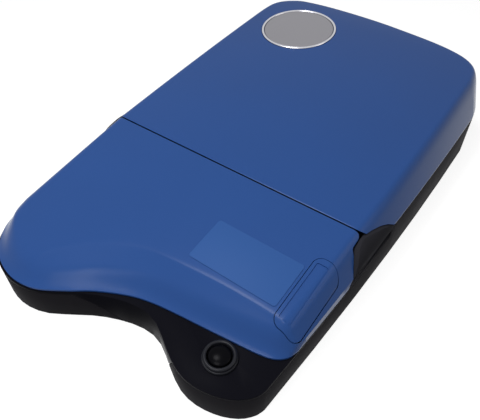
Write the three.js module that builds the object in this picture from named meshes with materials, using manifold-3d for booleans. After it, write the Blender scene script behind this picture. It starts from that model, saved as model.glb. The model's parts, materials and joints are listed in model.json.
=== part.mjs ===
// A desktop film negative scanner, built as separate pieces.
// Millimetres, +Z up, +Y to the back, +X to the right of someone who faces its front.
import * as THREE from 'three';
import { mergeVertices } from 'three/addons/utils/BufferGeometryUtils.js';
import Module from 'manifold-3d';

const wasm = await Module();
wasm.setup();

// Driving dimensions of the whole object.
// Heights stand over the table, and depths are told from the seam between the two covers.
const width = 168;
const length = 280;
const frontReach = 102;
const seamHeight = 39;
const rearSlope = THREE.MathUtils.degToRad(4.9);
const frontSlope = THREE.MathUtils.degToRad(7.7);
const sideNarrowing = 5.8;
const widestBehindSeam = 95;
const rearReach = length - frontReach;
const half = width / 2;

// Walls and the spaces between pieces.
const skin = 2.4;
const wall = 2.4;
const floorThickness = 2.2;
const footLift = 1;
const parting = 0.4;
const clearance = 0.3;
const runningGap = 0.1;
const overrun = 5;

// The three layers where they meet.
const rimFront = 16.8;
const rimAtNotch = 19;
const rimRear = 26;
const deckThickness = 1.3;
const deckTop = rimFront + parting + deckThickness;
const coverBottom = deckTop + parting;
const rearCoverBottom = rimRear + parting;

// The rolled edge of the blue covers and the bevelled front of the lid.
const roll = { reach: 12, heightShare: 0.62, lobeReach: 12, cornerReach: 4, frontEdgeRise: 3.2 };

// The open wedge at each side, under the ends of the seam.
const notch = {
  front: 16, back: 26.5, apexDrop: 2.8, tailInset: 8.4, tailStart: 7.5, panelInset: 7.4, panel: 4.2,
};

// The film channel and its mouths in the side panels.
const film = { width: 35.6, height: 4.3, centre: 6.1, bottom: 19.8, plate: 1, rail: 1.5, endInset: 7.6 };
const frame = { long: 37, wide: 25 };
const flap = { trunnion: 0.45, trunnionReach: 0.5, topInset: 0.75 };

// The lid's hinge.
const hinge = { inset: 4.5, heightShare: 0.7713, pin: 1, barrel: 2.3, sideInset: 22, ear: 4, knuckle: 4.2 };

// The key in the lid and what it presses.
const key = { sideInset: 5, width: 12.4, notchGap: 4.5, edgeGap: 9.17, corner: 4, travel: 1.2, stem: 2 };
const keyRecess = { inset: 1.6, width: 5.6, ends: 3, depth: 0.5 };
const keyBoard = {
  leftBeyond: 7.1, rightInset: 1, backInset: 3.5, frontInset: 2.5, bottom: 20.2, thickness: 1.2, boss: 2.2,
};
const keySwitch = { side: 6, height: 2.2, cap: 1.4, capHeight: 0.6 };

// The power button on the deck.
const power = { sideInset: 28, lidGap: 8, ring: 7, collar: 7.5, bore: 5.1, ringRise: 2.6, collarRise: 1 };
const cap = { radius: 4.8, rise: 1.6, dome: 1, flange: 6, flangeThickness: 1.2, travel: 1.2, boss: 1.5 };
const buttonBoard = { length: 20, depth: 16, bottom: 7, thickness: 1.6 };
const buttonSwitch = { side: 6, height: 2, cap: 1.4, capHeight: 0.5 };
const coil = { wire: 0.5, radius: 5.2, turns: 3 };

// The badge and the sticker.
const badge = {
  sideInset: 44.8, rearInset: 46, radius: 24.7, rim: 1.5, rimHeight: 1.5, disc: 1.1, recess: 1,
};
const label = { sideInset: 19, width: 46, depth: 23, creaseGap: 3.06, thickness: 0.25 };

// The scan carriage: a tray that reaches under the film, an arm that reaches over it.
const carriage = {
  half: 22, bottom: 4.5, plate: 2, wall: 2, ahead: 9.1, webBehind: 37.4, endGap: 2, travel: 13,
};
const light = { length: 42, depth: 7, height: 2.2, diffuser: 0.5 };
const mirror = { length: 40, height: 13, thickness: 1.5 };
const lens = { radius: 5.4, bore: 3.9, length: 24, rearGap: 56, step: 1.2, stepLength: 5, glass: 2.4 };
const sensor = { length: 38, height: 8, depth: 3 };
const sensorBoard = { height: 17, thickness: 1.6 };
const rods = { x: 34, z: 22, radius: 2, bearing: 4.2, bearingLength: 8, wing: 38 };
const bracket = { filmGap: 0.9, thickness: 3.4, halfWidth: 5, top: 27, boardGap: 3.6 };
const drive = { x: 46, screw: 2.5, nutSide: 10, armThickness: 2.4 };
const motor = { radius: 12, length: 15, bore: 2.8, boreDepth: 6, ear: 1.6, screwSpacing: 8.6 };

// Boards and sockets at the back.
const board = {
  sideInset: 22, motorGap: 6, rearInset: 10, depth: 28, bottom: 6.5, thickness: 1.6, chip: 14,
};
const usb = {
  boardInset: 42, width: 12, height: 10.8, depth: 16, mouthWidth: 8.4, mouthHeight: 7.6, mouthDepth: 9,
};
const jack = { boardInset: 17, width: 9.4, height: 10.8, depth: 14, mouth: 3.1, mouthDepth: 9, pin: 1 };
const socketInset = 0.8;

// Feet, screws, posts and the lid's catch.
const foot = { radius: 7, height: 1.8, sideInset: 24, frontInset: 32, rearInset: 28 };
const screw = {
  head: 3, headHeight: 2, shank: 1.5, post: 4.4, postTop: 13.8, engaged: 9, countersink: 0.9,
};
const screwInsets = { leftSide: 26, leftFront: 15, rightSide: 20, rightFront: 58, rearSide: 14, rear: 56 };
const magnet = { sideInset: 40, frontInset: 16, radius: 4, height: 3, cup: 5.4, plate: 0.8 };
const smallPost = 2.6;

const fine = 28;
const coarse = 18;

// Outline shares: across the local half width, and along the reach from the seam.
const baseFrontShares = [
  [-1, -0.7], [-0.975, -0.8], [-0.92, -0.878], [-0.83, -0.942], [-0.72, -0.983], [-0.57, -1], [-0.41, -0.975],
  [-0.255, -0.905], [-0.11, -0.835], [0.065, -0.78], [0.205, -0.762], [0.32, -0.78], [0.45, -0.835],
  [0.58, -0.882], [0.7, -0.894], [0.83, -0.875], [0.93, -0.835], [0.985, -0.785], [1, -0.745],
];
const lidFrontShares = [
  [-1, -0.68], [-0.975, -0.782], [-0.92, -0.86], [-0.83, -0.927], [-0.72, -0.972], [-0.57, -0.992],
  [-0.41, -0.97], [-0.255, -0.9], [-0.11, -0.822], [0.065, -0.752], [0.2, -0.719], [0.36, -0.698],
  [0.55, -0.679], [0.75, -0.658], [0.86, -0.645], [0.935, -0.626], [0.983, -0.59], [1, -0.54],
];
const creaseShares = [
  [-1, -1], [-0.6, -0.95], [-0.45, -0.8], [-0.36, -0.72], [-0.25, -0.655], [-0.1, -0.597],
  [0.03, -0.567], [0.2, -0.55], [0.5, -0.53], [0.8, -0.527], [1, -0.54],
];
const rearShares = [
  [-1, 0.8], [-0.985, 0.865], [-0.93, 0.92], [-0.82, 0.965], [-0.68, 0.99], [-0.4, 1], [0, 0.993],
  [0.35, 0.972], [0.6, 0.95], [0.78, 0.922], [0.9, 0.885], [0.97, 0.838], [1, 0.77],
];
// Where the front wall of the base gives way to the middle frame, along the half width.
const swooshShares = { leftTop: -0.222, leftFoot: 0.117, rightFoot: 0.396, rightTop: 0.548 };

// A smooth curve through shares, read as depth for a share of the width.
function depthCurve(shares, reach) {
  const spline = new THREE.SplineCurve(shares.map(([u, v]) => new THREE.Vector2(u, v * reach)));
  const points = spline.getPoints(shares.length * 8);
  points.forEach((point) => {
    point.y = THREE.MathUtils.clamp(point.y, -reach, reach);
  });
  return (u) => {
    if (u <= points[0].x) return points[0].y;
    for (let i = 1; i < points.length; i += 1) {
      if (u <= points[i].x) {
        const t = (u - points[i - 1].x) / (points[i].x - points[i - 1].x);
        return THREE.MathUtils.lerp(points[i - 1].y, points[i].y, t);
      }
    }
    return points[points.length - 1].y;
  };
}

const baseFront = depthCurve(baseFrontShares, frontReach);
const lidFront = depthCurve(lidFrontShares, frontReach);
const creaseLine = depthCurve(creaseShares, frontReach);
const rearEdge = depthCurve(rearShares, rearReach);

// Places that follow from the sizes and curves above.
const keyRight = half - key.sideInset;
const keyLeft = keyRight - key.width;
const keyBack = notch.front + key.notchGap;
const keyFront = -lidFront((keyLeft + keyRight) / width) - key.edgeGap;
const keyBoardLeft = keyLeft - keyBoard.leftBeyond;
const keyBoardRight = keyRight - keyBoard.rightInset;
const keyBoardBack = keyBack + keyBoard.backInset;
const keyBoardFront = keyFront - keyBoard.frontInset;
const hingePlace = half - hinge.sideInset;
const powerX = half - power.sideInset;
const powerY = lidFront(powerX / half) - power.lidGap;
const badgeX = badge.sideInset - half;
const badgeY = rearReach - badge.rearInset;
const labelRight = half - label.sideInset;
const labelLeft = labelRight - label.width;
const labelFront = -creaseLine((labelLeft + labelRight) / width) - label.creaseGap;
const labelBack = labelFront - label.depth;
const magnetX = magnet.sideInset - half;
const magnetY = magnet.frontInset - frontReach;
const boardLeft = board.sideInset - half;
const boardRight = drive.x - motor.radius - board.motorGap;
const boardBack = rearReach - board.rearInset;
const boardFront = boardBack - board.depth;
const usbX = boardLeft + usb.boardInset;
const jackX = boardLeft + jack.boardInset;
const bracketFront = film.centre + film.width / 2 + film.rail + bracket.filmGap;
const bracketRear = boardFront - bracket.boardGap - bracket.thickness;
const carriageFront = film.centre - carriage.ahead;
const webFront = film.centre + carriage.webBehind;
const carriageBack = bracketRear - carriage.travel - carriage.endGap;
const lensFront = carriageBack - lens.rearGap;
const nutBack = (webFront + carriageBack + drive.nutSide) / 2;
const screwPlaces = [
  [screwInsets.leftSide - half, screwInsets.leftFront - frontReach],
  [half - screwInsets.rightSide, screwInsets.rightFront - frontReach],
  [screwInsets.rearSide - half, rearReach - screwInsets.rear],
  [half - screwInsets.rearSide, rearReach - screwInsets.rear],
];

// Half the width at a depth: the sides bulge slightly.
function wallHalf(y) {
  const share = (y - widestBehindSeam) / (widestBehindSeam + frontReach * 0.78);
  return half - sideNarrowing * share * share;
}

// Shares from -1 to 1 that crowd together towards both ends.
function crowded(count) {
  return Array.from({ length: count + 1 }, (_, i) => Math.sin((Math.PI / 2) * (2 * i / count - 1)));
}

// The plan outline of a casing layer, counter-clockwise, drawn in by a wall's thickness.
function footprint(frontCurve, inset) {
  const at = (u, y) => new THREE.Vector2(u * (wallHalf(y) - inset), y);
  const front = crowded(40).map((u) => at(u, frontCurve(u) + inset));
  const back = crowded(26).reverse().map((u) => at(u, rearEdge(u) - inset));
  const side = (u, from, to) => [1, 2, 3, 4, 5].map((i) => at(u, THREE.MathUtils.lerp(from, to, i / 6)));
  const right = side(1, front[front.length - 1].y, back[0].y);
  const left = side(-1, back[back.length - 1].y, front[0].y);
  return [...front, ...right, ...back, ...left];
}

// A closed mesh as a solid that can be joined and cut.
function solid(geometry) {
  const bare = geometry.clone();
  bare.deleteAttribute('normal');
  bare.deleteAttribute('uv');
  const merged = mergeVertices(bare, 1e-4);
  return new wasm.Manifold(new wasm.Mesh({
    numProp: 3,
    vertProperties: new Float32Array(merged.attributes.position.array),
    triVerts: new Uint32Array(merged.index.array),
  }));
}

// A solid as a drawable geometry.
function drawn(body) {
  const mesh = body.getMesh();
  const geometry = new THREE.BufferGeometry();
  geometry.setAttribute('position', new THREE.BufferAttribute(mesh.vertProperties, 3));
  geometry.setIndex(new THREE.BufferAttribute(mesh.triVerts, 1));
  geometry.computeVertexNormals();
  return geometry;
}

function box(x0, x1, y0, y1, z0, z1) {
  const geometry = new THREE.BoxGeometry(x1 - x0, y1 - y0, z1 - z0);
  geometry.translate((x0 + x1) / 2, (y0 + y1) / 2, (z0 + z1) / 2);
  return solid(geometry);
}

// Round bars along each axis: centre, radius and the two ends.
function barZ(x, y, radius, z0, z1, sides = fine) {
  const geometry = new THREE.CylinderGeometry(radius, radius, z1 - z0, sides);
  geometry.rotateX(Math.PI / 2);
  geometry.translate(x, y, (z0 + z1) / 2);
  return solid(geometry);
}

function barY(x, z, radius, y0, y1, sides = coarse) {
  const geometry = new THREE.CylinderGeometry(radius, radius, y1 - y0, sides);
  geometry.translate(x, (y0 + y1) / 2, z);
  return solid(geometry);
}

function barX(y, z, radius, x0, x1, sides = coarse) {
  const geometry = new THREE.CylinderGeometry(radius, radius, x1 - x0, sides);
  geometry.rotateZ(Math.PI / 2);
  geometry.translate((x0 + x1) / 2, y, z);
  return solid(geometry);
}

// A plan outline pulled upward.
function prismZ(outline, z0, z1) {
  const geometry = new THREE.ExtrudeGeometry(new THREE.Shape(outline), { depth: z1 - z0,
    bevelEnabled: false });
  geometry.translate(0, 0, z0);
  return solid(geometry);
}

// A side profile of (depth, height) points pulled from left to right.
function prismX(profile, x0, x1) {
  const shape = new THREE.Shape(profile.map(([y, z]) => new THREE.Vector2(y, z)));
  const geometry = new THREE.ExtrudeGeometry(shape, { depth: x1 - x0, bevelEnabled: false });
  geometry.applyMatrix4(new THREE.Matrix4().set(0, 0, 1, x0, 1, 0, 0, 0, 0, 1, 0, 0, 0, 0, 0, 1));
  return solid(geometry);
}

// A front profile of (across, height) points pulled from front to back.
function prismY(profile, y0, y1) {
  const shape = new THREE.Shape(profile.map(([x, z]) => new THREE.Vector2(x, z)));
  const geometry = new THREE.ExtrudeGeometry(shape, { depth: y1 - y0, bevelEnabled: false });
  geometry.rotateX(Math.PI / 2);
  geometry.translate(0, y1, 0);
  return solid(geometry);
}

// A profile of (radius, height) points turned about a vertical axis.
function turned(profile, x, y, sides = fine) {
  const geometry = new THREE.LatheGeometry(profile.map(([r, z]) => new THREE.Vector2(r, z)), sides);
  geometry.rotateX(Math.PI / 2);
  geometry.translate(x, y, 0);
  return solid(geometry);
}

// Height of the blue covers before their edge is rolled.
function topHeight(u, y) {
  if (y >= 0) return seamHeight + y * Math.tan(rearSlope);
  const edge = lidFront(u);
  const blend = THREE.MathUtils.smoothstep(u, -0.5, 0.5);
  const least = edge + THREE.MathUtils.lerp(roll.lobeReach, roll.cornerReach, blend);
  const crease = Math.max(creaseLine(u), least);
  if (y >= crease) return seamHeight + y * Math.tan(frontSlope);
  const start = seamHeight + crease * Math.tan(frontSlope);
  const share = Math.min(1, (crease - y) / (crease - edge));
  return THREE.MathUtils.lerp(start, coverBottom + roll.frontEdgeRise, share);
}

function distanceTo(outline, x, y) {
  let best = Infinity;
  outline.forEach((a, i) => {
    const b = outline[(i + 1) % outline.length];
    const dx = b.x - a.x;
    const dy = b.y - a.y;
    const t = THREE.MathUtils.clamp(((x - a.x) * dx + (y - a.y) * dy) / (dx * dx + dy * dy), 0, 1);
    best = Math.min(best, Math.hypot(x - a.x - t * dx, y - a.y - t * dy));
  });
  return best;
}

// Height of the finished top surface, drawn in and lowered by an inset.
function surfaceHeight(u, y, outline, inset) {
  const x = u * (wallHalf(y) - inset);
  const height = topHeight(u, y);
  const near = Math.max(0, 1 - distanceTo(outline, x, y) / roll.reach);
  const drop = roll.heightShare * (height - coverBottom) * (1 - Math.sqrt(1 - near * near));
  return height - drop - inset;
}

// The whole blue top as one closed dome over the covers' outline, flat underneath.
function dome(inset, bottom) {
  const outline = footprint(lidFront, inset);
  const columnShares = [0, 0.12, 0.235, 0.35, 0.46, 0.57, 0.68, 0.78, 0.86, 0.91, 0.95, 0.976, 0.992, 1];
  const columns = [...columnShares.slice(1).reverse().map((u) => -u), ...columnShares];
  const edgeShares = [0, 0.06, 0.18, 0.38, 0.68];
  const rows = columns.map((u) => {
    const front = lidFront(u) + inset;
    const back = rearEdge(u) - inset;
    const blend = THREE.MathUtils.smoothstep(u, -0.5, 0.5);
    const least = lidFront(u) + THREE.MathUtils.lerp(roll.lobeReach, roll.cornerReach, blend);
    const crease = Math.max(creaseLine(u), least, front + inset / 2);
    const fromFront = edgeShares.map((s) => THREE.MathUtils.lerp(front, crease, s));
    const lid = [0, 0.5].map((s) => THREE.MathUtils.lerp(crease, 0, s));
    const top = [0, 0.33, 0.67].map((s) => THREE.MathUtils.lerp(0, back - roll.reach, s));
    const toBack = [1, 0.68, 0.38, 0.18, 0.06, 0].map((s) => back - roll.reach * s);
    return [...fromFront, ...lid, ...top, ...toBack];
  });
  const perColumn = rows[0].length;
  const positions = [];
  columns.forEach((u, i) => rows[i].forEach((y) => {
    positions.push(u * (wallHalf(y) - inset), y, surfaceHeight(u, y, outline, inset));
  }));
  columns.forEach((u, i) => rows[i].forEach((y) => positions.push(u * (wallHalf(y) - inset), y, bottom)));
  const index = [];
  const under = columns.length * perColumn;
  for (let i = 0; i + 1 < columns.length; i += 1) {
    for (let j = 0; j + 1 < perColumn; j += 1) {
      const a = i * perColumn + j;
      const b = a + perColumn;
      index.push(a, b, b + 1, a, b + 1, a + 1);
      index.push(under + a, under + b + 1, under + b, under + a, under + a + 1, under + b + 1);
    }
  }
  const rim = [];
  for (let i = 0; i < columns.length; i += 1) rim.push(i * perColumn);
  for (let j = 1; j < perColumn; j += 1) rim.push((columns.length - 1) * perColumn + j);
  for (let i = columns.length - 2; i >= 0; i -= 1) rim.push(i * perColumn + perColumn - 1);
  for (let j = perColumn - 2; j > 0; j -= 1) rim.push(j);
  rim.forEach((a, k) => {
    const b = rim[(k + 1) % rim.length];
    index.push(under + a, under + b, b, under + a, b, a);
  });
  const geometry = new THREE.BufferGeometry();
  geometry.setAttribute('position', new THREE.Float32BufferAttribute(positions, 3));
  geometry.setIndex(index);
  return solid(geometry);
}

const baseOutline = footprint(baseFront, 0);
const baseInner = footprint(baseFront, wall);
const lidOutline = footprint(lidFront, 0);
const beyond = length;

// Height of the covers' top at a place, for the pieces that sit on it or hang under it.
function topAt(x, y) {
  return surfaceHeight(x / wallHalf(y), y, lidOutline, 0);
}

// Side profile of the base's rim, with the low stretch under the notch.
function rimProfile(lift) {
  return [
    [-beyond, rimFront + lift], [-notch.front + parting, rimFront + lift],
    [film.centre + film.width / 2 + parting, rimAtNotch + lift],
    [notch.back, rimRear + lift], [beyond, rimRear + lift],
  ];
}

// The wedge under the ends of the seam, as (depth, height) points, grown or shrunk by an offset.
function notchEdge(offset) {
  const apex = seamHeight - notch.apexDrop + offset;
  const drop = seamHeight - notch.apexDrop - coverBottom;
  const tail = (rearCoverBottom - coverBottom) / drop;
  const lid = [[1, 0], [0.81, 0.32], [0.68, 0.53], [0.54, 0.74], [0.35, 0.91], [0.1, 1]];
  const rear = [[0.06, 1], [0.3, 0.93], [0.56, 0.81], [0.77, 0.66], [0.92, 0.5], [1, tail]];
  return [
    ...lid.map(([s, h]) => [-notch.front * s - offset, coverBottom + drop * h + offset * (h > 0 ? 1 : 0)]),
    [0, apex],
    ...rear.map(([s, h]) => [notch.back * s + offset, coverBottom + drop * h + offset]),
  ];
}

function baseTray() {
  const outer = prismZ(baseOutline, footLift, rimRear);
  const inner = prismZ(baseInner, footLift + floorThickness, rimRear + overrun);
  const aboveRim = prismX([...rimProfile(0), [beyond, beyond], [-beyond, beyond]], -beyond, beyond);
  const plate = prismZ(baseInner, footLift, footLift + floorThickness);
  let body = outer.subtract(inner).subtract(aboveRim).subtract(swoosh(0)).add(plate);
  const floorTop = footLift + floorThickness - runningGap;
  screwPlaces.forEach(([x, y]) => {
    body = body.add(barZ(x, y, screw.post, floorTop, screw.postTop, coarse));
  });
  boardPosts().forEach(([x, y, top]) => {
    body = body.add(barZ(x, y, smallPost, floorTop, top, coarse));
  });
  screwPlaces.forEach(([x, y]) => {
    body = body.subtract(barZ(x, y, screw.shank + clearance, 0, screw.postTop + overrun, coarse));
    body = body.subtract(barZ(x, y, screw.head + clearance, 0,
      footLift + screw.countersink + screw.headHeight
      + clearance, coarse));
  });
  footPlaces().forEach(([, x, y]) => {
    body = body.subtract(barZ(x, y, foot.radius + clearance, 0, foot.height + clearance));
  });
  socketPlaces().forEach(({ x, halfWidth, bottom, top }) => {
    body = body.subtract(box(x - halfWidth - clearance, x + halfWidth + clearance,
      rearReach / 2 + boardFront / 2,
      rearReach + overrun, bottom - clearance, top + clearance));
  });
  return body;
}

// The stretch of front wall that belongs to the middle frame, seen from the front.
function swoosh(shrink) {
  const reach = wallHalf(-frontReach);
  const profile = [
    [reach * swooshShares.leftTop + shrink * 2, rimFront + overrun],
    [reach * swooshShares.leftTop + shrink * 2, rimFront],
    [reach * swooshShares.leftFoot + shrink, -overrun],
    [reach * swooshShares.rightFoot - shrink, -overrun],
    [reach * swooshShares.rightTop - shrink * 2, rimFront],
    [reach * swooshShares.rightTop - shrink * 2, rimFront + overrun],
  ];
  return prismY(profile, -frontReach - overrun, -keyFront);
}

function boardPosts() {
  const boardTop = board.bottom - clearance;
  const inset = smallPost + overrun;
  const main = [[boardLeft, boardFront], [boardRight, boardFront], [boardLeft, boardBack],
    [boardRight, boardBack]].map(([x, y]) => [
    x + inset * Math.sign(boardRight - x - overrun),
    y + inset * Math.sign(boardBack - y - overrun), boardTop]);
  const button = [-1, 1].map((side) => [
    powerX + side * (buttonBoard.length / 2 - smallPost), powerY, buttonBoard.bottom - clearance]);
  return [...main, ...button];
}

function footPlaces() {
  const x = half - foot.sideInset;
  const front = foot.frontInset - frontReach;
  const back = rearReach - foot.rearInset;
  return [
    ['foot_front_left', -x, front], ['foot_front_right', x, front],
    ['foot_rear_left', -x, back], ['foot_rear_right', x, back],
  ];
}

function socketPlaces() {
  const bottom = board.bottom + board.thickness + clearance;
  return [
    { x: usbX, halfWidth: usb.width / 2, bottom, top: bottom + usb.height },
    { x: jackX, halfWidth: jack.width / 2, bottom, top: bottom + jack.height },
  ];
}

function midChassis(covers) {
  const deckBottom = deckTop - deckThickness;
  const innerOutline = footprint(baseFront, wall + parting);
  const ribOutline = footprint(baseFront, wall + parting + runningGap);
  const innerRib = footprint(baseFront, notch.panel + parting);
  const wingBack = film.centre + film.width / 2 + film.rail;
  const front = box(-beyond, beyond, -beyond, -notch.front, -overrun, beyond);
  const deck = prismZ(baseOutline, deckBottom, deckTop).intersect(front);
  const wings = prismZ(innerOutline, deckBottom, deckTop)
    .intersect(box(-beyond, beyond, -notch.front - parting, wingBack, 0, beyond));
  const opening = box(-carriage.half * 2 + overrun, carriage.half * 2 - overrun,
    carriageFront - carriage.travel
    + overrun, wingBack + overrun, 0, beyond);
  const ribs = prismZ(ribOutline, deckTop - runningGap, rimAtNotch + 2 * parting + deckThickness)
    .subtract(prismZ(innerRib, 0, beyond))
    .intersect(box(-beyond, beyond, -notch.front, wingBack - film.rail, 0, beyond));
  const panelFront = -notch.front - runningGap;
  const panelProfile = [
    ...notchEdge(-parting), [film.centre + film.width / 2, rimAtNotch + parting],
    [panelFront, deckBottom], [panelFront, deckTop],
  ];
  const panels = covers.subtract(dome(notch.panel, -overrun)).intersect(prismX(panelProfile,
    -beyond, beyond))
    .subtract(box(-half + notch.panelInset, half - notch.panelInset, -beyond, beyond, 0, beyond));
  const skirt = prismZ(baseOutline, footLift, deckTop)
    .subtract(prismZ(footprint(baseFront, wall - clearance), 0, beyond))
    .intersect(swoosh(parting));
  let body = deck.add(wings).subtract(opening).add(ribs).add(panels).add(skirt);
  screwPlaces.slice(0, 2).forEach(([x, y]) => {
    body = body.add(barZ(x, y, screw.post, screw.postTop + clearance, deckTop - runningGap, coarse));
    body = body.subtract(barZ(x, y, screw.shank + clearance, 0, deckTop - deckThickness, coarse));
  });
  body = body.add(barZ(magnetX, magnetY, magnet.cup, deckTop - magnet.height - 2 * clearance - runningGap
    - deckThickness, deckTop - runningGap, coarse));
  body = body.subtract(barZ(magnetX, magnetY, magnet.radius + clearance,
    deckTop - magnet.height - 2 * clearance,
    deckTop + overrun, coarse));
  body = body.subtract(barZ(powerX, powerY, power.bore + clearance, deckBottom - overrun,
    deckTop + overrun));
  const from = film.centre - film.width / 2;
  const to = film.centre + film.width / 2;
  body = body.subtract(box(-beyond, beyond, from, to, film.bottom, film.bottom + film.height));
  [-1, 1].forEach((side) => {
    const pivot = flapPivot(side);
    body = body.subtract(barY(pivot.x, pivot.z, flap.trunnion + clearance,
      from - flap.trunnionReach - clearance,
      to + flap.trunnionReach + clearance));
    body = body.add(hingeEar(side));
  });
  return body;
}

// The bracket that holds a hinge pin: it leans over the film channel.
function hingeEar(side) {
  const { y, z } = hingeAxis();
  const x0 = side * hingePlace - hinge.ear / 2;
  const lean = film.centre - film.width / 2 - film.rail - clearance;
  const top = film.bottom + film.height + film.plate + 2 * clearance;
  const profile = [
    [lean - 2 * hinge.ear, deckTop - runningGap], [lean, deckTop - runningGap], [lean, top],
    [y + hinge.barrel - clearance, z - hinge.barrel - clearance], [y + hinge.barrel - clearance, z],
    [y, z + hinge.barrel - clearance], [y - hinge.barrel, z], [lean - 2 * hinge.ear, top],
  ];
  return prismX(profile, x0, x0 + hinge.ear)
    .subtract(barX(y, z, hinge.pin + clearance, x0 - overrun, x0 + hinge.ear + overrun));
}

// The hinge axis runs between the top of the film channel and the underside of the lid.
function hingeAxis() {
  const low = film.bottom + film.height + film.plate;
  const high = seamHeight - skin - hinge.inset * Math.tan(frontSlope);
  return { y: -hinge.inset, z: THREE.MathUtils.lerp(low, high, hinge.heightShare) };
}

function flapPivot(side) {
  return {
    x: side * (wallHalf(film.centre) - skin / 2),
    z: film.bottom + film.height - clearance - flap.topInset,
  };
}

// The solid part of each cover: everything above the low edges, the notch and the seam.
function coverTrim() {
  const edge = notchEdge(0);
  return prismX([
    [-beyond, -beyond], [beyond, -beyond], [beyond, rearCoverBottom], ...edge.reverse(), [-beyond,
    coverBottom],
  ], -beyond, beyond);
}

// The slanted face between the covers: the lid's tail tucks under the rear cover.
function behindSeam(shift) {
  return prismX([
    [shift - seamHeight, 2 * seamHeight], [shift + seamHeight, 0], [beyond, 0], [beyond, 2 * seamHeight],
  ], -beyond, beyond);
}

function rearCover(covers) {
  let body = covers.subtract(coverTrim()).intersect(behindSeam(parting));
  screwPlaces.slice(2).forEach(([x, y]) => {
    body = body.add(barZ(x, y, screw.post, screw.postTop + clearance, topAt(x, y) - skin / 2, coarse));
    body = body.subtract(barZ(x, y, screw.shank + clearance, 0,
      screw.postTop + screw.engaged + overrun, coarse));
  });
  return body.subtract(badgeRecess());
}

function frontCover(covers) {
  let body = covers.subtract(coverTrim()).subtract(behindSeam(0));
  [-1, 1].forEach((side) => {
    const from = side > 0 ? half - notch.tailInset : -beyond;
    const to = side > 0 ? beyond : -half + notch.tailInset;
    body = body.subtract(box(from, to, -notch.tailStart, beyond, 0, beyond));
  });
  const { y, z } = hingeAxis();
  [-1, 1].forEach((side) => [-1, 1].forEach((end) => {
    const centre = side * hingePlace + end * (hinge.ear / 2 + clearance + hinge.knuckle / 2);
    const x0 = centre - hinge.knuckle / 2;
    const up = seamHeight - skin - hinge.inset * Math.tan(frontSlope) + runningGap * 3;
    const knuckle = barX(y, z, hinge.barrel, x0, x0 + hinge.knuckle)
      .add(box(x0, x0 + hinge.knuckle, y - hinge.barrel, y + hinge.barrel, z, up));
    body = body.add(knuckle).subtract(barX(y, z, hinge.pin + clearance, x0 - clearance, x0 + hinge.knuckle
      + clearance));
  }));
  const bossTop = keyBoard.bottom + keyBoard.thickness + clearance;
  keyBossPlaces().forEach(([x, depth]) => {
    body = body.add(barZ(x, depth, keyBoard.boss, bossTop, topAt(x, depth) - skin / 2, coarse));
  });
  body = body.add(barZ(magnetX, magnetY, magnet.radius, deckTop + magnet.plate + 2 * clearance,
    topAt(magnetX, magnetY) - skin / 2, coarse));
  return body.subtract(keyPrism(clearance));
}

function keyBossPlaces() {
  const x = keyBoardLeft + keyBoard.boss;
  return [[x, -keyBoardBack - keyBoard.boss], [x, -keyBoardFront + keyBoard.boss]];
}

function keyPrism(grow) {
  const outline = new THREE.Shape();
  const r = key.corner + grow;
  outline.moveTo(keyLeft - grow, -keyFront - grow + r);
  outline.absarc(keyLeft - grow + r, -keyFront - grow + r, r, Math.PI, Math.PI * 1.5);
  outline.absarc(keyRight + grow - r, -keyFront - grow + r, r, Math.PI * 1.5, Math.PI * 2);
  outline.absarc(keyRight + grow - r, -keyBack + grow - r, r, 0, Math.PI / 2);
  outline.absarc(keyLeft - grow + r, -keyBack + grow - r, r, Math.PI / 2, Math.PI);
  return prismZ(outline.getPoints(5).slice(1), 0, beyond);
}

function scanKey(covers) {
  let body = covers.intersect(keyPrism(0)).subtract(prismZ(footprint(lidFront, -overrun), 0,
    deckTop + overrun));
  const middle = -(keyFront + keyBack) / 2;
  const x = keyStemX();

    const switchTop = keyBoard.bottom + keyBoard.thickness + keySwitch.height + keySwitch.capHeight;
  const stemBottom = switchTop + 3 * clearance + key.travel;
  body = body.add(barZ(x, middle, key.stem, stemBottom, topAt(x, middle) - skin / 2, coarse));
  const recessLeft = keyLeft + keyRecess.inset;
  const steps = 6;
  const run = (keyFront - keyBack - 2 * keyRecess.ends);
  for (let i = 0; i < steps; i += 1) {
    const y0 = -keyFront + keyRecess.ends + (run * i) / steps;
    const y1 = y0 + run / steps;
    const middleX = recessLeft + keyRecess.width / 2;
    const z0 = topAt(middleX, y0) - keyRecess.depth;
    const z1 = topAt(middleX, y1) - keyRecess.depth;
    body = body.subtract(prismX([[y0, z0], [y1 + runningGap, z1], [y1 + runningGap, z1 + overrun],
      [y0, z0 + overrun]], recessLeft, recessLeft + keyRecess.width));
  }
  return body;
}

function keyStemX() {
  return keyLeft + key.corner + key.stem;
}

function slotFlap(side) {
  const pivot = flapPivot(side);
  const from = film.centre - film.width / 2;
  const to = film.centre + film.width / 2;
  const face = pivot.x;
  const plate = box(face - skin / 4, face + skin / 4, from + clearance, to - clearance,
    film.bottom + clearance, pivot.z);
  return plate.add(barY(pivot.x, pivot.z, flap.trunnion, from - flap.trunnionReach,
    to + flap.trunnionReach, 12));
}

function filmGuide() {
  const reach = half - film.endInset;
  const from = film.centre - film.width / 2;
  const to = film.centre + film.width / 2;
  const outer = box(-reach, reach, from - film.rail, to + film.rail, deckTop + clearance,
    film.bottom + film.height + film.plate);
  const channel = box(-reach - overrun, reach + overrun, from, to, film.bottom, film.bottom + film.height);
  const window = box(-frame.long / 2, frame.long / 2, film.centre - frame.wide / 2,
    film.centre + frame.wide / 2,
    0, beyond);
  return outer.subtract(channel).subtract(window);
}

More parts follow.
